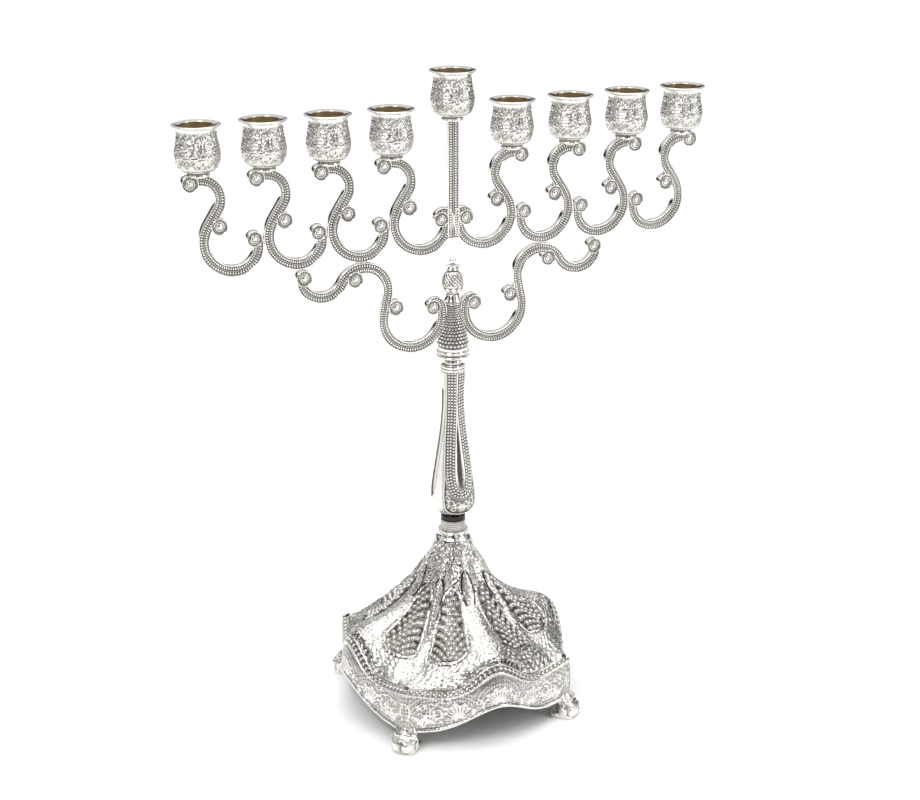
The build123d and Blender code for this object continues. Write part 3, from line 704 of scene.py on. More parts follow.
def nozzle(place):
    """A polished flange over a satin brass tube. They lift out together."""
    x, rim = light_place(place)
    body = f"nozzle_{place}"
    flange = Geometry()
    turned_ring(flange, rounded(FLANGE_OUTLINE, 0.3, 4)[:-1] + (0, rim), NOZZLE_SEGMENTS, (x, 0))
    flange.piece(f"flange_{place}", polished, body)
    tube = rounded(LINER_OUTLINE, 0.15, 3) + (0, rim)
    liner = Geometry()
    turned(liner, tube, np.zeros((len(tube) - 2, NOZZLE_SEGMENTS)), 0.0, (x, 0))
    return liner.piece(f"liner_{place}", brass, body, replaces=[body])


cup_outline, cup_height, cup_shade = cup_relief()
for place in LIGHTS:
    cup(place, cup_outline, cup_height, cup_shade)
    nozzle(place)


# ---------------------------------------------------------------- hidden hardware
for name in ("cup_rivets", "tie_rod", "rod_nut", "rod_washer"):
    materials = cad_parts[name].data.materials
    materials.clear()
    materials.append(steel)


# ---------------------------------------------------------------- column
STEM_OUTLINE = [(5.9, 104.0), (7.9, 105.6), (10.3, 107.4), (11.9, 112.0), (11.6, 116.0), (10.5, 124.5),
                (8.3, 138.0), (6.3, 151.6), (5.4, 165.0), (5.9, 178.0), (6.2, 181.0)]
STEM_BOTTOM = 104.0
STEM_TOP = 181.0
STEM_ROWS = 240
STEM_SEGMENTS = 240
PANEL_BAND = [(2.75, 181.0), (2.65, 172.0), (2.65, 165.0), (2.95, 157.0), (3.7, 148.0), (4.5, 138.0),
              (5.0, 130.0), (4.95, 125.5), (3.9, 120.6), (2.0, 118.7), (0.0, 118.2)]
PANEL_BAND_HALF = 2.55
PANEL_BEAD_ROWS = (-1.45, 0.0, 1.45)
PANEL_BEAD_PITCH = 1.5
PANEL_FRAME = [(5.9, 181), (5.75, 165), (6.0, 156), (6.9, 146), (7.9, 135), (8.8, 124), (9.4, 116),
               (8.6, 110.5), (5.5, 107.6), (0, 107.0)]
FLUTE_MIDDLE = 143.5
FLUTE_REACH = 28.5


def filigree():
    """Rings, arcs and bars on the ground below the panel's band, for one half of the panel."""
    rings = [((2.2, 112.5), 1.5), ((5.6, 113.8), 1.5), ((4.3, 110.0), 1.1), ((7.6, 116.3), 1.2),
             ((7.6, 112.0), 1.0), ((6.9, 119.5), 0.9)]
    arches = [arc((0, 109.6), 1.5, 20, 160), arc((0, 109.6), 2.6, 30, 150)]
    bars = [[(0, 108), (0, 112.8)], [(-1.2, 108.6), (-2.0, 111.8)], [(-0.6, 108.3), (-1.0, 112.3)]]
    return mirrored([arc(centre, radius, 0, 360) for centre, radius in rings] + arches + bars)


def stem_point(outline, x, z, lift, facing):
    """The place on the stem's skin at a distance x round from the middle of a panel."""
    radius = np.interp(z, outline[:, 1], outline[:, 0])
    angle = facing * (x / radius - math.pi / 2)
    out, around = round_axis(angle)
    return out * (radius + lift)[:, None] + (0, 0, 1) * z[:, None], around, out


def stem_relief(outline, band):
    """Height and darkening of the stem's skin: two beaded panels, two flutes and their borders. The
    darkening is painted shade in the slots and along the flutes, and tarnish with painted shade on the band
    and ground, while the raised borders stay bright.
    """
    frame_line = smooth_curve(PANEL_FRAME, 160)
    angle = full_turn(STEM_SEGMENTS)
    # distance round from the middle of the nearer panel, front or back
    folded = np.abs((angle - math.pi / 2) % math.pi)
    folded = np.minimum(folded, math.pi - folded)
    radius = outline[:, 0:1]
    z = np.broadcast_to(outline[:, 1:2], (STEM_ROWS, STEM_SEGMENTS))
    x = folded[None] * radius
    to_band = Engraving(mirrored([band])).distance(x, z)
    to_border = Engraving(mirrored([frame_line])).distance(x, z)
    edge = np.interp(z, frame_line[::-1, 1], frame_line[::-1, 0])
    in_panel = step_between(edge - x, -0.1, 0.3) * step_between(z, 107.0, 107.8)
    rims = ridge(np.abs(to_band - PANEL_BAND_HALF), 0.45)
    slot_half = np.interp(z, [121.3, 126, 131, 145, 157.5], [0.0, 1.5, 1.65, 0.8, 0.0])
    slot = step_between(slot_half - x, -0.15, 0.45) * (z > 121) * (z < 158)
    in_band = step_between(PANEL_BAND_HALF - to_band, -0.2, 0.3)
    ground = in_panel * (1 - in_band) * (1 - slot) * step_between(z, 127, 122)
    tracery = ridge(Engraving(filigree(), 0.15).distance(x, z), 0.5) * ground
    # the flutes down the polished sides
    side = math.pi / 2 * radius - x
    flute_half = 2.5 * np.sqrt(np.clip(1 - (np.abs(z - FLUTE_MIDDLE) / FLUTE_REACH) ** 8, 0, 1))
    flute = np.clip(1 - (side / np.maximum(flute_half, 0.1)) ** 2, 0, 1) * (flute_half > 0.1)
    height = (0.3 * rims * in_panel * (1 - slot) - 0.22 * in_band * in_panel - 1.0 * slot + 0.3 * tracery
              - 0.2 * ground + 0.25 * ridge(to_border, 0.5) - 1.0 * flute)
    # painted shade: the slot dark, the band and ground darker round the beads and tracery, a dark line at
    # each flute's edge and one beside the border on the plain side
    shade = np.clip(0.75 * in_band * in_panel * (1 - rims) + slot + 0.75 * ground * (1 - tracery)
                    + 1.1 * ridge(np.abs(side - flute_half + 0.1), 0.3) * (flute > 0)
                    + 0.6 * ridge(to_border - 0.75, 0.45) * (side > 0), 0, 1)
    # painted shade: a wide dark streak near each flute's edge, grey down its hollow and grey over the plain
    # sides, with the raised border kept bright
    streak = ridge(np.abs(side - flute_half + 0.5), 1.0)
    shade = np.maximum(shade, (flute > 0) * (0.2 + 0.75 * streak))
    shade = np.maximum(shade, 0.14 * (1 - in_panel))
    return height, shade * (1 - ridge(to_border, 0.45))


def stem():
    """The baluster, with three rows of beads on the band of each panel."""
    outline = smooth_curve(STEM_OUTLINE, STEM_ROWS)
    band = smooth_curve(PANEL_BAND, 160)
    height, shade = stem_relief(outline, band)
    geometry = Geometry()
    turned(geometry, np.vstack([[(0, STEM_BOTTOM)], outline, [(0, STEM_TOP)]]), height, shade)
    left = branch_frame(band)
    for facing in (-1, 1):
        for sign in (-1, 1):
            for row in PANEL_BEAD_ROWS:
                track = band + left * row
                track = track[track[:, 0] > 0.35]
                track = resample(track, int(length_of(track) / PANEL_BEAD_PITCH))
                spots, around, out = stem_point(outline, track[:, 0] * sign, track[:, 1], -0.2, facing)
                geometry.stamp(SMALL_BEAD, spots, around, out, 0.66)
    return geometry.piece("baluster", beaded, replaces=["stem"])


CONE_OUTLINE = [(7.9, 194.2), (6.4, 201.5), (5.0, 208.5), (3.7, 215.5)]
CONE_BEAD_ROWS = 15
CONE_BEADS_ROUND = 24
CONE_SEGMENTS = 96
CONE_LEAN = 0.2
CONE_BEAD = scaled(BEAD, (0.95, 0.85, 0.75))


def cone():
    """The bell between the lower scrolls, set all round with rows of drops."""
    outline = smooth_curve(CONE_OUTLINE, 40)
    body = outline - (0.35, 0)
    profile = np.vstack([[(0, 192.5)], [(7.5, 192.5), (7.75, 193.2), (7.6, 194.0)], body, [(0, 215.5)]])
    # painted shade: the bell is dark between its drops, and its foot ring stays bright
    shade = np.full((len(profile) - 2, CONE_SEGMENTS), 0.85)
    shade[:3] = 0.1
    geometry = Geometry()
    turned(geometry, profile, np.zeros_like(shade), shade)
    row = 194.7
    for index in range(CONE_BEAD_ROWS):
        radius = float(np.interp(row, outline[:, 1], outline[:, 0]))
        size = radius * math.pi / CONE_BEADS_ROUND
        angle = 2 * math.pi * (np.arange(CONE_BEADS_ROUND) + 0.5 * (index % 2)) / CONE_BEADS_ROUND
        level_out, around = round_axis(angle)
        out = unit(level_out + (0, 0, CONE_LEAN))
        spots = out * (1, 1, 0) * (radius - 0.3) + (0, 0, row + size * 0.7)
        geometry.stamp(CONE_BEAD, spots, around, out, size)
        row += size * 1.85
    return geometry.piece("beaded_bell", beaded, replaces=["beaded_cone"])


FINIAL_OUTLINE = [(2.5, 221.0), (2.7, 221.5), (4.4, 222.4), (5.15, 224.2), (5.25, 226.2), (4.9, 228.6),
                  (4.2, 230.5), (3.0, 231.9), (2.6, 232.4), (3.3, 233.2), (3.4, 234.0)]
FINIAL_BELT = 225.0
FINIAL_COLUMNS = 144


def finial():
    """A pineapple: a scaled bulb, a crown of petals and a ball on top."""
    outline = smooth_curve(FINIAL_OUTLINE, 100)
    crown = rounded([(3.4, 234.1), (3.0, 234.7), (1.9, 235.1), (1.2, 235.6)], 0.3, 3)
    ball = arc((0, 237.1), 1.7, -48, 88, 14)
    profile = np.vstack([[(0, 221.0)], outline, crown, ball, [(0, 238.8)]])
    angle = full_turn(FINIAL_COLUMNS)[None]
    level = profile[1:-1, 1][:, None]
    weave = np.cos(16 * angle + 3.4 * level) * (0.7 + 0.3 * np.cos(16 * angle - 3.4 * level))
    scales = step_between(level, FINIAL_BELT + 0.4, FINIAL_BELT + 0.9) * step_between(level, 231.6, 231.0)
    sepals = step_between(level, 221.8, 222.4) * step_between(level, FINIAL_BELT, FINIAL_BELT - 0.5)
    leaf = np.cos(10 * angle)
    belt = ridge(np.abs(level - FINIAL_BELT - 0.25 * leaf), 0.6)
    petals = step_between(level, 232.4, 232.9) * step_between(level, 235.0, 234.5)
    petals = petals * (np.arange(len(level)) < len(outline) + len(crown))[:, None]
    petal = np.cos(8 * angle)
    height = 0.2 * weave * scales + 0.15 * leaf * sepals + 0.3 * belt + 0.4 * petal * petals
    neck = ridge(np.abs(level - 232.3), 0.5) + ridge(np.abs(level - 235.5), 0.4)
    # painted shade: dark between the scales, sepals and petals, in the necks and under the belt, with the
    # raised tops lighter
    shade = np.clip(scales * (0.4 - 0.8 * weave) + sepals * (0.15 - 0.5 * leaf) + neck
                    + ridge(np.abs(level - FINIAL_BELT + 0.75 - 0.25 * leaf), 0.4)
                    + 0.9 * petals * (0.1 - petal), 0, 1)
    geometry = Geometry()
    turned(geometry, profile, height, shade)
    return geometry.piece("pineapple", polished, replaces=["finial"])


COLUMN_SEGMENTS = 128
DRUM_RADIUS = 5.95
DRUM_BEADS = 34
DRUM_BEAD_SIZE = 0.55
COLLAR_OUTLINE = [(9.15, 91.02), (8.9, 91.5), (8.2, 92.4), (7.8, 93.2), (7.55, 94.2), (7.3, 94.3),
                  (7.3, 94.55), (7.8, 94.7), (7.7, 95.3), (6.6, 95.48)]
DRUM_OUTLINE = [(6.5, 95.52), (6.0, 95.8), (6.0, 100.6), (6.3, 100.98)]
RING_BAND_OUTLINE = [(5.7, 101.02), (6.35, 101.3), (6.35, 103.6), (5.9, 103.95)]
CAP_OUTLINE = [(4.1, 215.55), (4.45, 215.9), (4.1, 216.25), (4.1, 216.45), (4.6, 216.7), (4.5, 217.2),
               (4.0, 218.2), (3.6, 219.2), (3.3, 220.2), (2.6, 220.95)]
KNOP_OUTLINE = np.vstack([
    [(5.6, 181.02), (6.1, 181.5), (6.1, 182.3), (5.75, 182.5), (5.75, 182.8), (6.1, 183.0),
     (6.1, 183.8), (5.3, 184.3), (4.8, 185.0), (5.0, 186.0), (5.9, 187.4), (6.9, 188.2)],
    arc((7.45, 189.0), 0.62, -85, 85, 12), [(6.7, 189.75), (6.6, 190.3), (6.9, 190.5)],
    arc((7.5, 191.3), 0.68, -85, 85, 12), [(7.3, 192.2), (6.9, 192.48)]])


def column_ring(name, node, material, outline, radius, shade=0.0, depth=1.0, dark_lines=(), bead_rows=()):
    """A ring or cap on the column, with rounded corners, lines of painted shade at heights and rows of
    beads.
    """
    low, high = box_mm(node)
    outline = rounded(outline, radius, 4)
    dark = np.full((len(outline), COLUMN_SEGMENTS), shade)
    for level, reach in dark_lines:
        dark += ridge(np.abs(outline[:, 1:2] - level), reach)
    profile = np.vstack([[(0, low[2])], outline, [(0, high[2])]])
    geometry = Geometry()
    turned(geometry, profile, np.zeros_like(dark), np.clip(depth * dark, 0, 1))
    for index, level in enumerate(bead_rows):
        angle = 2 * math.pi * (np.arange(DRUM_BEADS) + 0.5 * (index % 2)) / DRUM_BEADS
        out, around = round_axis(angle)
        geometry.stamp(BEAD, out * DRUM_RADIUS + (0, 0, level), around, out, DRUM_BEAD_SIZE)
    return geometry.piece(name, material, replaces=[node])


stem()
cone()
finial()
# painted shade: dark lines in the knop's grooves and under its flange, and in the leaf cap's grooves
column_ring("flanged_knop", "knop", polished, KNOP_OUTLINE, 0.15, depth=0.95,
            dark_lines=[(182.65, 0.35), (184.9, 0.9), (190.1, 0.5)])
column_ring("neck_collar", "base_collar", chased, COLLAR_OUTLINE, 0.25)
column_ring("beaded_drum", "neck_drum", beaded, DRUM_OUTLINE, 0.25, shade=0.5,
            bead_rows=[96.3, 97.5, 98.7, 99.9])
# the neck ring's black is a painted dark reflection
column_ring("dark_neck_ring", "neck_ring", painted_dark_silver, RING_BAND_OUTLINE, 0.15)
column_ring("leaf_cap", "dome_washer", polished, CAP_OUTLINE, 0.12,
            dark_lines=[(216.35, 0.3), (220.9, 0.3)])


# ---------------------------------------------------------------- base
# The base hangs like a cloth from eight ribs. Each rib is (radius, height) from the neck down,
# and points with the same number on different ribs belong to the same level of the pattern.
SIDE_RIB = [(8.5, 93), (11.5, 84), (16, 76), (24, 62), (37, 53), (49, 48), (55.5, 44), (59.5, 37),
            (60.5, 30), (60.5, 10)]
VALLEY = [(8.5, 93), (10.9, 84), (15.2, 74.5), (22.5, 61), (30.5, 51), (40, 43.5), (48.5, 37.5), (55, 31),
          (57.8, 26), (58.6, 10)]
CORNER_RIB = [(8.5, 93), (12.5, 82), (19, 72), (31, 53.5), (38, 44), (45, 38), (54, 34.5), (61, 33.5),
              (65, 29.5), (65.2, 10)]
VALLEY_ANGLE = 26.0         # degrees from the middle of a side
CORNER_ANGLE = 45.0
NECK_LEVEL = 0.24
SHELL_WALL = 1.1
SHELL_CEILING = 85.0        # the hollow inside ends at this height
RIB_STEPS = 40


RIBS = [catmull_rom(rib, RIB_STEPS) for rib in (SIDE_RIB, VALLEY, CORNER_RIB)]
SKIRT_LEVEL = 9.0           # the number of each rib's last point
LEVELS = np.linspace(0, SKIRT_LEVEL, len(RIBS[0]))
VALLEY_LENGTH = steps_along(RIBS[1])


def folded_angle(angle):
    """Degrees from the middle of the nearest side, 0 to 45."""
    return np.abs((np.degrees(angle) + 45) % 90 - 45)


def base_section(level, angle):
    """Radius and height of the base's skin at a pattern level and an angle in radians."""
    folded = folded_angle(angle)
    inner = step_between(folded, 0, VALLEY_ANGLE)
    outer = np.clip((folded - VALLEY_ANGLE) / (CORNER_ANGLE - VALLEY_ANGLE), 0, 1) ** 1.6
    result = []
    for k in (0, 1):
        side, valley, corner = [np.interp(level, LEVELS, rib[:, k]) for rib in RIBS]
        toward_side = side + inner * (valley - side)
        toward_corner = valley + outer * (corner - valley)
        result.append(np.where(folded < VALLEY_ANGLE, toward_side, toward_corner))
    return result


def base_point(level, angle):
    """Points on the base's plain drape, without puffs or relief."""
    radius, height = base_section(level, angle)
    return np.stack([radius * np.cos(angle), radius * np.sin(angle), height], -1)


def base_directions(level, angle):
    """Across and outward directions of the base's skin."""
    step = 0.01
    across = unit(base_point(level, angle + step) - base_point(level, angle - step))
    down = unit(base_point(level + step, angle) - base_point(level - step, angle))
    return across, unit(np.cross(down, across))


def band_level(angle, share=0.5):
    """Pattern level in the band of rings, from 0 at its upper border to 1 at its lower one."""
    fall = step_between(folded_angle(angle), 0, VALLEY_ANGLE)
    return 6.05 + fall + share * (0.52 + 0.2 * fall)


def skirt_foot(angle):
    """Height of the skirt's wavy lower edge."""
    radius = base_section(np.full(np.shape(angle), SKIRT_LEVEL), angle)[0]
    across = radius * np.sin(np.radians(folded_angle(angle)))
    return 10.05 + 12.0 * (1 - step_between(across, 0, 32.0))


def closed_shell(geometry, outer, height, shade, inner_rows, capped):
    """A skin of points from the top down, raised by a relief, with an inner skin behind it."""
    columns = np.roll(outer, -1, axis=1) - np.roll(outer, 1, axis=1)
    rows = np.gradient(outer, axis=0)
    outward = unit(np.cross(rows, columns))
    raised = outer + outward * height[..., None]
    pick = np.unique(np.linspace(0, len(outer) - 1, inner_rows).astype(int))
    inner = (outer - outward * SHELL_WALL)[pick]
    if capped:
        inner[:, :, 2] = np.minimum(inner[:, :, 2], SHELL_CEILING)
    points = np.vstack([inner, raised[::-1]])
    tarnish_and_shade = np.vstack([np.full((len(inner), outer.shape[1]), 0.35), shade[::-1]])
    if capped:
        geometry.closed_grid(points, tarnish_and_shade, (0, 0, SHELL_CEILING), (0, 0, points[-1, 0, 2]))
    else:
        geometry.grid(points, tarnish_and_shade, closed_rows=True)


def all_round(columns, draw):
    """Draws one eighth of the base, from a side's middle to a corner, and repeats it all round."""
    part = draw(columns // 8 + 1)
    quarter = [np.concatenate([sheet[:, :-1], sheet[:, :0:-1]], axis=1) for sheet in part]
    return [np.tile(sheet, (1, 4)) for sheet in quarter]


TONGUE_TOP = 26.0           # along the valley from the neck
TONGUE_TIP = 6.0            # length of its rounded upper end
TONGUE_SHOULDER = 56.0
TONGUE_END = 66.5
TONGUE_HALF = 9.3
TONGUE_PUFF = 2.3
LOBE_PUFF = 2.4


def tongue_half(along):
    """Half width of a beaded tongue at a distance along its valley."""
    shoulders = [TONGUE_TOP, TONGUE_TOP + TONGUE_TIP, TONGUE_SHOULDER]
    straight = np.interp(along, shoulders, [3.6, 5.0, TONGUE_HALF])
    upper = np.clip((TONGUE_TOP + TONGUE_TIP - along) / TONGUE_TIP, 0, 1)
    lower = np.clip((along - TONGUE_SHOULDER) / (TONGUE_END - TONGUE_SHOULDER), 0, 1)
    return straight * np.sqrt(1 - lower ** 2) * np.sqrt(1 - upper ** 2)


def puff(side, along):
    """How far the tongues and the lobes under them stand out from the ribs' plain drape."""
    share = np.clip(np.abs(side) / np.maximum(tongue_half(along), 0.1), 0, 1)
    tongue = TONGUE_PUFF * (1 - share ** 2) * step_between(along, TONGUE_TOP - 2, 40)
    lobe = LOBE_PUFF * np.clip(1 - (side / 13.0) ** 2, 0, 1) * step_between(along, 48, 68)
    return np.maximum(tongue * (along < TONGUE_END), lobe)


def tongue_outline(margin):
    """The outline of one side of a tongue, a margin outside its edge."""
    quarter = np.linspace(0, math.pi / 2, 24)
    upper = TONGUE_TOP + TONGUE_TIP * (1 - np.cos(np.linspace(0, math.pi / 2, 16)))
    lower = TONGUE_SHOULDER + (TONGUE_END - TONGUE_SHOULDER) * np.sin(quarter)
    straight = np.linspace(TONGUE_TOP + TONGUE_TIP, TONGUE_SHOULDER, 30)
    along = np.concatenate([upper, straight[1:], lower[1:]])
    half = tongue_half(along)
    return np.stack([half + margin * (half > 0.01), along], -1)


CROWN_COLUMNS = 720
CROWN_ROWS = 124
LEAF_TOP = 17.0
LEAF_LENGTH = 23.0
FAN_CENTRE = 46.0           # along the valley
HOLLOW_ANGLE = 13.5


def leaf_half(along):
    """Half width of the leaf on each rib at a distance down from the neck."""
    return 3.3 * np.sin(math.pi * np.clip((along - LEAF_TOP) / LEAF_LENGTH, 0, 1)) ** 0.8


def to_leaf_edge(radius, folded, along):
    """Distance from a rib's leaf edge, negative inside the leaf, and from the rib's middle."""
    rib_side = np.where(folded < 13, radius * np.radians(folded), radius * np.radians(45 - folded))
    return rib_side - leaf_half(along), rib_side


def on_leaf_rib(folded):
    return (folded < 11) | (folded > 36)


def leaf_relief(radius, folded, along):
    """A veined leaf with a slit round it, on every rib; painted shade darkens the slit and the leaf between
    its barbs.
    """
    leaf_edge, rib_side = to_leaf_edge(radius, folded, along)
    on_rib = on_leaf_rib(folded)
    share = np.clip((along - LEAF_TOP) / LEAF_LENGTH, 0, 1)
    in_leaf = on_rib * step_between(-leaf_edge, -0.2, 0.4)
    vein = ridge(rib_side, 0.4) * in_leaf
    barbs = wave(along - rib_side * 1.3, 1.9) * in_leaf
    slit = on_rib * ridge(np.abs(leaf_edge), 0.8) * step_between(share, 0.02, 0.1)
    slit = slit * (share < 0.8) * (leaf_half(along) > 0.4)
    return 0.28 * vein + 0.25 * barbs - 1.0 * slit, 1.6 * slit + in_leaf * (0.3 - 0.4 * barbs)


def fan_relief(side, along, free):
    """Rays and scales that fan out from a point inside the tongue, below its end."""
    turn = np.arctan2(side, along - FAN_CENTRE)
    reach = np.hypot(side, along - FAN_CENTRE)
    fan = free * step_between(along, 52, 62)
    rays = 0.5 + 0.5 * np.cos(turn * 44 + 1.2 * np.sin(reach * 2.1))
    scales = 0.5 + 0.5 * np.cos(reach * 2 * math.pi / 2.4 + math.pi * (rays > 0.5))
    # painted shade: the fan darker in its cuts and lighter on its rays and scales
    return fan * (0.3 * rays + 0.3 * scales), fan * (0.5 - 0.9 * rays * scales)


def neck_relief(folded, along):
    """Scallops in tiers round the neck."""
    arches = np.abs(np.sin(np.radians(folded) * 12))
    neck = step_between(along, 15, 12) * step_between(along, 2.5, 4)
    tier = wave(along + 2.0 * arches, 3.2)
    # painted shade: dark between the tiers, light on their tops
    return neck * 0.22 * tier, neck * (0.5 - 0.7 * tier)


def crown_of_base():
    """From the neck down to the band: ribs, leaves, tongues and fans."""
    angle = full_turn(CROWN_COLUMNS)
    last = band_level(angle, 0)
    share = np.linspace(0, 1, CROWN_ROWS)[:, None]
    level = NECK_LEVEL + share * (last - NECK_LEVEL)
    grid_angle = np.broadcast_to(angle, level.shape)
    outline = Engraving(mirrored([tongue_outline(0.5)]))

    def draw(columns):
        part_level = level[:, :columns]
        radius = base_section(part_level, grid_angle[:, :columns])[0]
        folded = folded_angle(grid_angle[:, :columns])
        along = np.interp(part_level, LEVELS, VALLEY_LENGTH)
        side = radius * np.radians(folded - VALLEY_ANGLE)
        # the tongue, its raised border and the undercut beside its upper and lower end, darkened as painted
        # shade
        to_outline = outline.distance(side, along)
        inside = step_between(tongue_half(along) - np.abs(side), -0.2, 0.6)
        border = ridge(to_outline, 0.75)
        ends = step_between(along, 40, 60) + step_between(along, 32, 28)
        under = step_between(to_outline, 2.0, 0.7) * (1 - inside) * ends
        fan, fan_shade = fan_relief(side, along, (1 - inside) * (1 - border))
        leaf, leaf_shade = leaf_relief(radius, folded, along)
        neck, neck_shade = neck_relief(folded, along)
        crest = (1 - inside) * step_between(np.abs(side), 6.0, 9.0) * step_between(along, 42, 52)
        # smooth hollows over the band at the middle of each side, darkened as painted shade
        to_band = last[:columns] - part_level
        hollow = step_between(to_band, 0.62, 0.3) * step_between(to_band, 0.02, 0.1)
        hollow = hollow * ridge(folded - HOLLOW_ANGLE, 5.5)
        height = puff(side, along) + 0.45 * border - 0.7 * under + fan + leaf + neck - 0.9 * hollow
        # painted shade: the tongue's ground dark between its beads, the undercuts and hollows darkest; the
        # raised border kept bright and the crests beside the tongues lighter
        shade = (0.85 * inside + 1.2 * under * (1 - border) + fan_shade + leaf_shade + neck_shade
                 + 1.1 * hollow)
        shade = np.clip(shade, 0, 1) * (1 - 0.9 * border) * (1 - 0.4 * crest)
        fade = step_between(share, 0, 0.02) * step_between(share, 1, 0.985)
        return height * fade, shade

    height, shade = all_round(CROWN_COLUMNS, draw)
    geometry = Geometry()
    closed_shell(geometry, base_point(level, grid_angle), height, shade, 12, True)
    return geometry.piece("draped_crown", draped, replaces=["base_shell"])


SKIRT_COLUMNS = 960
RIM_LEVEL = 8.6             # pattern distances round the skirt are measured at this level
BAND_ROWS = 12
SKIRT_ROWS = 62
PALMETTES = [(0.0, 24.0), (20.5, 16.2), (35.5, 14.5), (49.0, 11.0)]


def engraved_ground(x, z):
    """Fine rays and arcs round the nearest palmette, from -1 in a cut to 1 on a ridge."""
    reach = np.full(x.shape, np.inf)
    turn = np.zeros(x.shape)
    for centre_x, centre_z in PALMETTES:
        distance = np.hypot(x - centre_x, z - centre_z)
        closer = distance < reach
        reach = np.where(closer, distance, reach)
        turn = np.where(closer, np.arctan2(z - centre_z, x - centre_x), turn)
    rays = np.cos(turn * np.round(reach * 4.2 / 4) * 4)
    arcs = np.cos(reach * 2 * math.pi / 2.1 + 1.4 * np.sin(3 * turn))
    return 0.6 * rays + 0.4 * arcs


def palmette(centre, reach, lobes=9):
    """A fan of petals that stand on a point."""
    curves = []
    for lobe in range(lobes):
        turn = math.radians(12 + 156 * lobe / (lobes - 1))
        long = reach * (1.0 if lobe % 2 == 0 else 0.86)
        tip = np.add(centre, (long * math.cos(turn), long * math.sin(turn)))
        root = np.add(centre, (0.22 * reach * math.cos(turn), 0.22 * reach * math.sin(turn)))
        curves.append([root, tip])
        curves.append(arc(tip, 0.75, math.degrees(turn) - 110, math.degrees(turn) + 110, 8))
    curves.append(arc(centre, 0.2 * reach, 0, 180, 12))
    return curves


def skirt_curves():
    """The chased pattern from the middle of a side, x = 0, to a corner, x about 50."""
    return (mirrored(palmette(PALMETTES[0], 8.6, 11)) + palmette(PALMETTES[1], 9.2, 11)
            + palmette(PALMETTES[2], 5.4, 7) + [
        spiral((10.6, 26.0), 2.3, 0.5, 250, -1.3), arc((10.4, 21.2), 2.6, -10, 150, 16),
        [(12.4, 20.6), (13.9, 17.2)], [(13.8, 21.4), (15.0, 18.4)],
        spiral((32.0, 20.4), 4.4, 0.9, 160, -1.7), spiral((39.5, 24.0), 2.4, 0.5, -30, 1.4),
        arc((36.5, 13.6), 3.6, 20, 170, 20), arc((43.0, 16.0), 5.5, 95, 215, 24),
        arc((46.5, 12.2), 7.6, 95, 175, 24), arc((49.5, 11.0), 9.6, 100, 165, 24),
        arc((27.5, 27.6), 2.0, 180, 360, 14), arc((33.0, 27.0), 2.0, 180, 330, 14),
        smooth_curve([(50.2, 28.0), (47.0, 25.5), (45.6, 21.5), (46.8, 17.0)], 20),
        smooth_curve([(50.5, 24.5), (49.0, 21.0), (49.4, 16.0)], 16)])


def skirt_levels(angle, low, skirt_z):
    """Pattern levels of the skirt's rows, found from their heights column by column."""
    fine_level = low + np.linspace(0, 1, 60)[:, None] * (SKIRT_LEVEL - low)
    fine_z = base_section(fine_level, np.broadcast_to(angle, fine_level.shape))[1]
    columns = zip(skirt_z.T, fine_z.T, fine_level.T)
    return np.stack([np.interp(-z, -known_z, known) for z, known_z, known in columns], -1)


def skirt_of_base():
    """The band between two raised lines, and the chased skirt with its plain lip."""
    angle = full_turn(SKIRT_COLUMNS)
    top = band_level(angle, 0)
    low = band_level(angle, 1)
    rim_z = base_section(low, angle)[1]
    foot_z = np.minimum(skirt_foot(angle), rim_z - 1.0)
    share_band = np.linspace(0, 1, BAND_ROWS, endpoint=False)[:, None]
    share_skirt = np.linspace(0, 1, SKIRT_ROWS)[:, None]
    skirt_z = rim_z + share_skirt * (foot_z - rim_z)
    level = np.vstack([top + share_band * (low - top), skirt_levels(angle, low, skirt_z)])
    outer = base_point(level, np.broadcast_to(angle, level.shape))
    rim = base_point(np.full(len(angle), RIM_LEVEL), angle)
    around = steps_along(rim[:SKIRT_COLUMNS // 8 + 1, :2])
    drawing = Engraving(skirt_curves(), 0.15)

    def draw(columns):
        z = outer[BAND_ROWS:, :columns, 2]
        x = np.broadcast_to(around[None, :columns], z.shape)
        raised = ridge(drawing.distance(x, z), 0.68)
        above_foot = z - foot_z[:columns]
        lip = step_between(above_foot, 1.5, 0.9)
        groove = ridge(np.abs(above_foot - 1.9), 0.45)
        cuts = engraved_ground(x, z)
        ground = (1 - raised) * (1 - lip) * (1 - groove)
        skirt_height = 0.45 * np.maximum(raised, lip) - 0.25 * groove + 0.1 * cuts * ground - 0.45
        # painted shade: dark in the groove over the lip, the chased ground darker in its cuts, and the
        # raised lines and lip bright
        skirt_shade = np.clip(0.8 * groove + ground * (0.5 - 0.35 * cuts), 0, 1) * (1 - lip)
        across = np.broadcast_to(share_band, (BAND_ROWS, columns))
        rails = np.maximum(ridge(across - 0.04, 0.14), ridge(1.0 - across, 0.17))
        rail = ridge(share_skirt * (rim_z[:columns] - foot_z[:columns]), 0.8)
        height = np.vstack([0.55 * rails - 0.35, skirt_height * (1 - rail) + 0.2 * rail])
        # painted shade: the band is dark between its two raised lines
        return height, np.vstack([0.95 * (1 - rails), skirt_shade * (1 - rail)])

    height, shade = all_round(SKIRT_COLUMNS, draw)
    geometry = Geometry()
    closed_shell(geometry, outer, height, shade, 10, False)
    return geometry.piece("chased_skirt", chased)


BEAD_ROW_PITCH = 2.72
BEAD_SIDE_PITCH = 3.12
CHAIN_PITCH = 2.8
GRANULE_SEED = 18
GRANULE_DRAWS = 8200        # before those on the tongues, the band and the leaf edges drop out


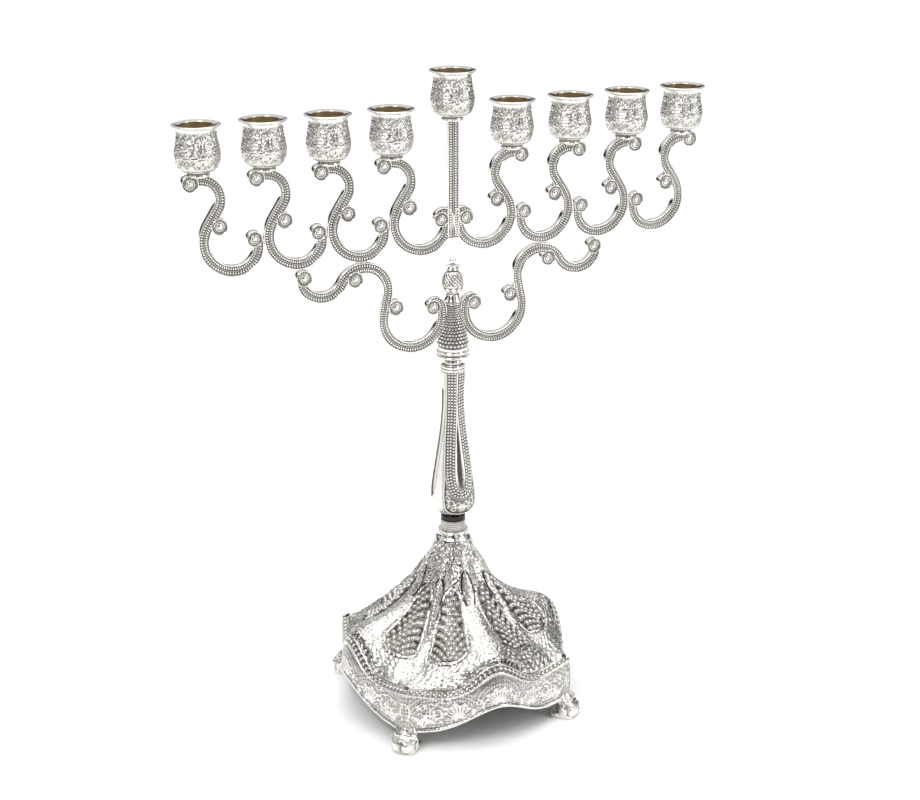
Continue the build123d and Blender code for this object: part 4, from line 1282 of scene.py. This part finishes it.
def tongue_directions(middle, sign, level, spots):
    """Across and outward directions on the puffed skin of a tongue."""
    step = 0.3
    radius = base_section(level, middle)[0]

    def skin(side_step, along_step):
        side = spots[:, 0] + side_step
        along = spots[:, 1] + along_step
        at = np.interp(along, VALLEY_LENGTH, LEVELS)
        around = middle + sign * side / radius
        return base_point(at, around) + base_directions(at, around)[1] * puff(side, along)[:, None]

    sideways = unit(skin(step, 0) - skin(-step, 0))
    down = unit(skin(0, step) - skin(0, -step))
    outward = unit(np.cross(down, sideways))
    plain = base_directions(level, middle + sign * spots[:, 0] / radius)[1]
    return sideways, outward * np.sign((outward * plain).sum(-1, keepdims=True))


def beads_of_base():
    """Ringed beads in staggered rows on the eight tongues."""
    geometry = Geometry()
    spots = []
    for row, along in enumerate(np.arange(TONGUE_TOP + 2.2, TONGUE_END - 1.2, BEAD_ROW_PITCH)):
        half = float(tongue_half(along)) - 1.2
        for index in range(-4, 5):
            side = (index + 0.5 * (row % 2)) * BEAD_SIDE_PITCH
            if abs(side) < half:
                spots.append((side, along))
    spots = np.array(spots)
    level = np.interp(spots[:, 1], VALLEY_LENGTH, LEVELS)
    for tongue in range(8):
        sign = 1 if tongue % 2 == 0 else -1
        middle = np.full(len(spots), math.radians(90 * (tongue // 2) + sign * VALLEY_ANGLE))
        angle = middle + sign * spots[:, 0] / base_section(level, middle)[0]
        across, outward = tongue_directions(middle, sign, level, spots)
        lift = puff(spots[:, 0], spots[:, 1])[:, None] + 0.1
        places = base_point(level, angle) + base_directions(level, angle)[1] * lift
        geometry.stamp(RINGED, places, across, outward, 1.4)
    return geometry.piece("tongue_beads", beaded)


# a flat bead that is dark all over
PIN = (*scaled(BEAD, (1, 1, 0.25))[:2], np.ones(len(BEAD[0])))


def chain_of_base():
    """Dotted rings in the band, granules between them and a dark pin at each corner."""
    geometry = Geometry()
    fine = np.linspace(0, 2 * math.pi, 2000)
    length = steps_along(base_point(band_level(fine), fine))
    count = int(length[-1] / CHAIN_PITCH / 4) * 4
    on_rings, between = [np.interp(length[-1] * (np.arange(count) + start) / count, length, fine)
                         for start in (0.5, 0.0)]
    corners = np.radians([45, 135, 225, 315])
    # template, angles, shift down across the band, lift off the skin, size
    for template, angle, shift, lift, size in (
            (RINGED, on_rings, 0.0, -0.15, 1.35), (SMALL_BEAD, between, -0.21, -0.3, 0.5),
            (SMALL_BEAD, between, 0.21, -0.3, 0.5), (PIN, corners, -0.36, 0.3, 1.25)):
        level = band_level(angle) + shift
        across, outward = base_directions(level, angle)
        geometry.stamp(template, base_point(level, angle) + outward * lift, across, outward, size)
    return geometry.piece("ring_chain", beaded)


def granules_of_base():
    """Fine granulation on the ribs, thicker towards the neck."""
    geometry = Geometry()
    scatter = np.random.default_rng(GRANULE_SEED)
    along = scatter.uniform(6.0, 78.0, GRANULE_DRAWS)
    level = np.interp(along, VALLEY_LENGTH, LEVELS)
    angle = scatter.uniform(0, 2 * math.pi, len(along))
    keep = scatter.uniform(0, 1, len(along))
    size = scatter.uniform(0.5, 0.85, len(along))
    radius = base_section(level, angle)[0]
    folded = folded_angle(angle)
    side = radius * np.radians(folded - VALLEY_ANGLE)
    allowed = (np.abs(side) > tongue_half(along) + 1.1) & (level < band_level(angle, 0) - 0.08)
    near_leaf = np.abs(to_leaf_edge(radius, folded, along)[0]) < 1.3
    allowed &= ~(near_leaf & (leaf_half(along) > 0.4) & on_leaf_rib(folded))
    wanted = keep < np.interp(radius, [8, 20, 45, 60], [0.25, 0.5, 0.85, 0.9])
    chosen = allowed & wanted
    across, outward = base_directions(level[chosen], angle[chosen])
    lift = puff(side[chosen], along[chosen]) - 0.04
    places = base_point(level[chosen], angle[chosen]) + outward * lift[:, None]
    geometry.stamp(GRANULE, places, across, outward, size[chosen])
    return geometry.piece("rib_granules", beaded)


crown_of_base()
skirt_of_base()
beads_of_base()
chain_of_base()
granules_of_base()


# ---------------------------------------------------------------- feet
# along the paw from the skirt's corner down and out: out, z, half width, half thickness
PAW_RINGS = [
    (-3.2, 21.0, 2.2, 1.0), (-2.2, 18.0, 2.9, 1.7), (-1.8, 15.0, 3.5, 2.3), (-1.4, 12.6, 4.4, 3.0),
    (-0.6, 10.4, 5.6, 4.0), (0.4, 8.2, 6.6, 5.2), (1.1, 6.2, 7.2, 6.0), (1.3, 4.2, 7.3, 6.2),
    (1.2, 2.4, 7.0, 5.9), (1.0, 1.1, 6.3, 5.2), (0.9, 0.3, 5.2, 4.2), (0.8, 0.05, 3.6, 3.0)]
PAW_MIDDLE = 63.0           # distance of the paw's middle line from the axis
PAW_ROWS = 84
PAW_COLUMNS = 96
# the pad under the skirt and the block that carries the shell: bottom, top, inward, outward, half width
PAW_BLOCKS = [(0.0, 2.8, -7.0, 5.0, 6.4), (8.1, 10.6, -6.0, 4.0, 5.6)]


def paw(name):
    """A carved paw on a flat pad: a fluted leg, round toes and an open slot behind."""
    low, high = box_mm(name)
    middle = (low + high) / 2
    outward, sideways = round_axis(math.atan2(middle[1], middle[0]))
    geometry = Geometry()

    def placed(out, across, z):
        flat = (PAW_MIDDLE + out)[..., None] * outward + across[..., None] * sideways
        return flat + z[..., None] * np.array([0.0, 0.0, 1.0])

    rings = smooth_curve(np.array(PAW_RINGS)[::-1], PAW_ROWS)
    angle = full_turn(PAW_COLUMNS)
    # toes: lobes on the outer half low down, flutes up the leg
    outer = step_between(np.cos(angle), -0.1, 0.4)[None]
    z = rings[:, 1:2]
    lobes = np.abs(np.sin(angle * 2.5)) ** 0.6
    toes = outer * step_between(z, 0.5, 2.0) * step_between(z, 9.0, 6.5) * (lobes[None] - 1)
    flutes = outer * step_between(z, 8.5, 11.0) * (np.abs(np.cos(angle * 2))[None] ** 1.2 - 1)
    nicks = outer * ridge(np.abs(z - 7.4 - 0.8 * np.cos(angle * 5)[None]), 0.5)
    relief = 0.75 * toes + 0.8 * flutes - 0.55 * nicks
    # painted shade: dark in the deepest parts of the dips between the toes, the flutes and the nicks
    shade = np.clip(0.9 * nicks - 1.1 * toes - 0.81 * flutes - 0.25, 0, 1)
    out = rings[:, 0:1] + (rings[:, 3:4] + relief) * np.cos(angle)
    across = (rings[:, 2:3] + relief) * np.sin(angle)
    geometry.closed_grid(placed(out, across, np.broadcast_to(z, out.shape)), shade)
    for block in PAW_BLOCKS:
        geometry.closed_grid(placed(*rounded_block(*block)))
    return geometry.piece(f"paw_{name.removeprefix('foot_')}", chased, replaces=[name])


def rounded_block(bottom, top, near, far, half, corner=2.4, edge=0.35):
    """Out, across and height of a low block's rings, with round corners and soft edges."""
    middle = (near + far) / 2
    length = (far - near) / 2 - corner
    width = half - corner
    rings = []
    for z, inset in ((bottom, edge), (bottom + edge, 0), (top - edge, 0), (top, edge)):
        corners = [(length, width, 0), (-length, width, 90), (-length, -width, 180), (length, -width, 270)]
        ring = np.vstack([arc((x, y), corner - inset, start, start + 90, 8) for x, y, start in corners])
        rings.append([ring[:, 0] + middle, ring[:, 1], np.full(len(ring), z)])
    return np.array(rings).transpose(1, 0, 2)


for name in ("foot_back_right", "foot_back_left", "foot_front_left", "foot_front_right"):
    paw(name)


# ---------------------------------------------------------------- studio
FLOOR_HALF = 8.0
PAPER = (0.96, 0.96, 0.965)
AIM = (0, 0, 0.18)          # where the lamps point, halfway up the menorah
# name, place, size and power of each soft box
SOFTBOXES = [("key", (-0.8, -0.6, 1.2), (0.7, 0.5), 9), ("fill", (0.9, -0.9, 0.8), (0.4, 0.9), 5)]
SUN_PLACE = (0.3, 0.4, 3)
SUN_STRENGTH = 1.5
SUN_SPREAD = 70             # degrees
TENT_LEVEL = 0.62           # brightness at the horizon
TENT_RISE = 0.25            # how much brighter the top is
GAP_SOFT_HEIGHT = 6
# gaps in the tent, in degrees: azimuth, half width, soft edge, elevation, half height, and how dark.
# The last one is a grey band all round, just over the horizon.
TENT_GAPS = [(-113, 11, 5, 22, 40, 0.97), (118, 26, 10, 4, 7, 0.95), (60, 10, 6, 2, 7, 0.9),
             (10, 12, 6, 15, 35, 0.8), (-60, 7, 4, 12, 40, 0.85), (-165, 9, 6, 10, 30, 0.85),
             (0, 181, 5, 5, 2, 0.85)]
LENS = 68.75
SENSOR_WIDTH = 36
CAMERA_PLACE = (-0.3196, -0.7607, 0.4681)
CAMERA_DIRECTION = (0.3673, 0.8638, -0.3448)


def put_in_scene(name, data, place=(0, 0, 0), direction=None):
    """A new object in the scene, which looks along a direction if it has one."""
    obj = bpy.data.objects.new(name, data)
    obj.location = place
    if direction is not None:
        obj.rotation_euler = Vector(direction).to_track_quat("-Z", "Y").to_euler()
    bpy.context.scene.collection.objects.link(obj)
    return obj


def floor():
    """A plain sheet of pale paper."""
    mesh = bpy.data.meshes.new("floor")
    corners = [(-1, -1), (1, -1), (1, 1), (-1, 1)]
    mesh.from_pydata([(x * FLOOR_HALF, y * FLOOR_HALF, 0) for x, y in corners], [], [(0, 1, 2, 3)])
    material = bpy.data.materials.new("paper_white")
    Shading(material).finish("Principled BSDF", {"Base Color": (*PAPER, 1), "Roughness": 0.9,
                                                 "Specular IOR Level": 0.1})
    mesh.materials.append(material)
    put_in_scene("floor", mesh)


def lamp(name, kind, place, power):
    """A lamp that points at the middle of the menorah."""
    light = bpy.data.lights.new(name, kind)
    light.energy = power
    put_in_scene(name, light, place, Vector(AIM) - Vector(place))
    return light


def sky():
    """A white tent with a dark opening at the front, gaps at the back and a grey horizon."""
    world = bpy.data.worlds.new("tent")
    bpy.context.scene.world = world
    shading = Shading(world)
    maths = shading.maths

    def within(value, middle, half, soft):
        """1 inside middle plus or minus half, 0 beyond the soft edge, all in degrees."""
        middle, half, soft = np.radians([middle, half, soft])
        return shading.node("MapRange", "Result", {
            "Value": maths("ABSOLUTE", maths("SUBTRACT", value, middle)), "From Min": half,
            "From Max": half + soft, "To Min": 1, "To Max": 0}, interpolation_type="SMOOTHSTEP")

    split = shading.tree.nodes.new("ShaderNodeSeparateXYZ")
    shading.join(split.inputs["Vector"], shading.node("TexCoord", "Generated"))
    azimuth = maths("ARCTAN2", split.outputs["Y"], split.outputs["X"])
    elevation = maths("ARCSINE", split.outputs["Z"])
    level = maths("ADD", TENT_LEVEL, maths("MULTIPLY", TENT_RISE, split.outputs["Z"]))
    for middle, half, soft, height, reach, depth in TENT_GAPS:
        mask = maths("MULTIPLY", within(azimuth, middle, half, soft),
                     within(elevation, height, reach, GAP_SOFT_HEIGHT))
        level = maths("MULTIPLY", level, maths("SUBTRACT", 1, maths("MULTIPLY", depth, mask)))
    shading.finish("Background", {"Color": level, "Strength": 1.0})


def camera():
    data = bpy.data.cameras.new("camera")
    data.lens = LENS
    data.sensor_width = SENSOR_WIDTH
    data.dof.use_dof = False
    bpy.context.scene.camera = put_in_scene("camera", data, CAMERA_PLACE, CAMERA_DIRECTION)


floor()
sky()
for name, place, size, power in SOFTBOXES:
    light = lamp(name, "AREA", place, power)
    light.shape = "RECTANGLE"
    light.size, light.size_y = size
lamp("overhead", "SUN", SUN_PLACE, SUN_STRENGTH).angle = math.radians(SUN_SPREAD)
camera()
bpy.context.scene.view_settings.view_transform = "Standard"
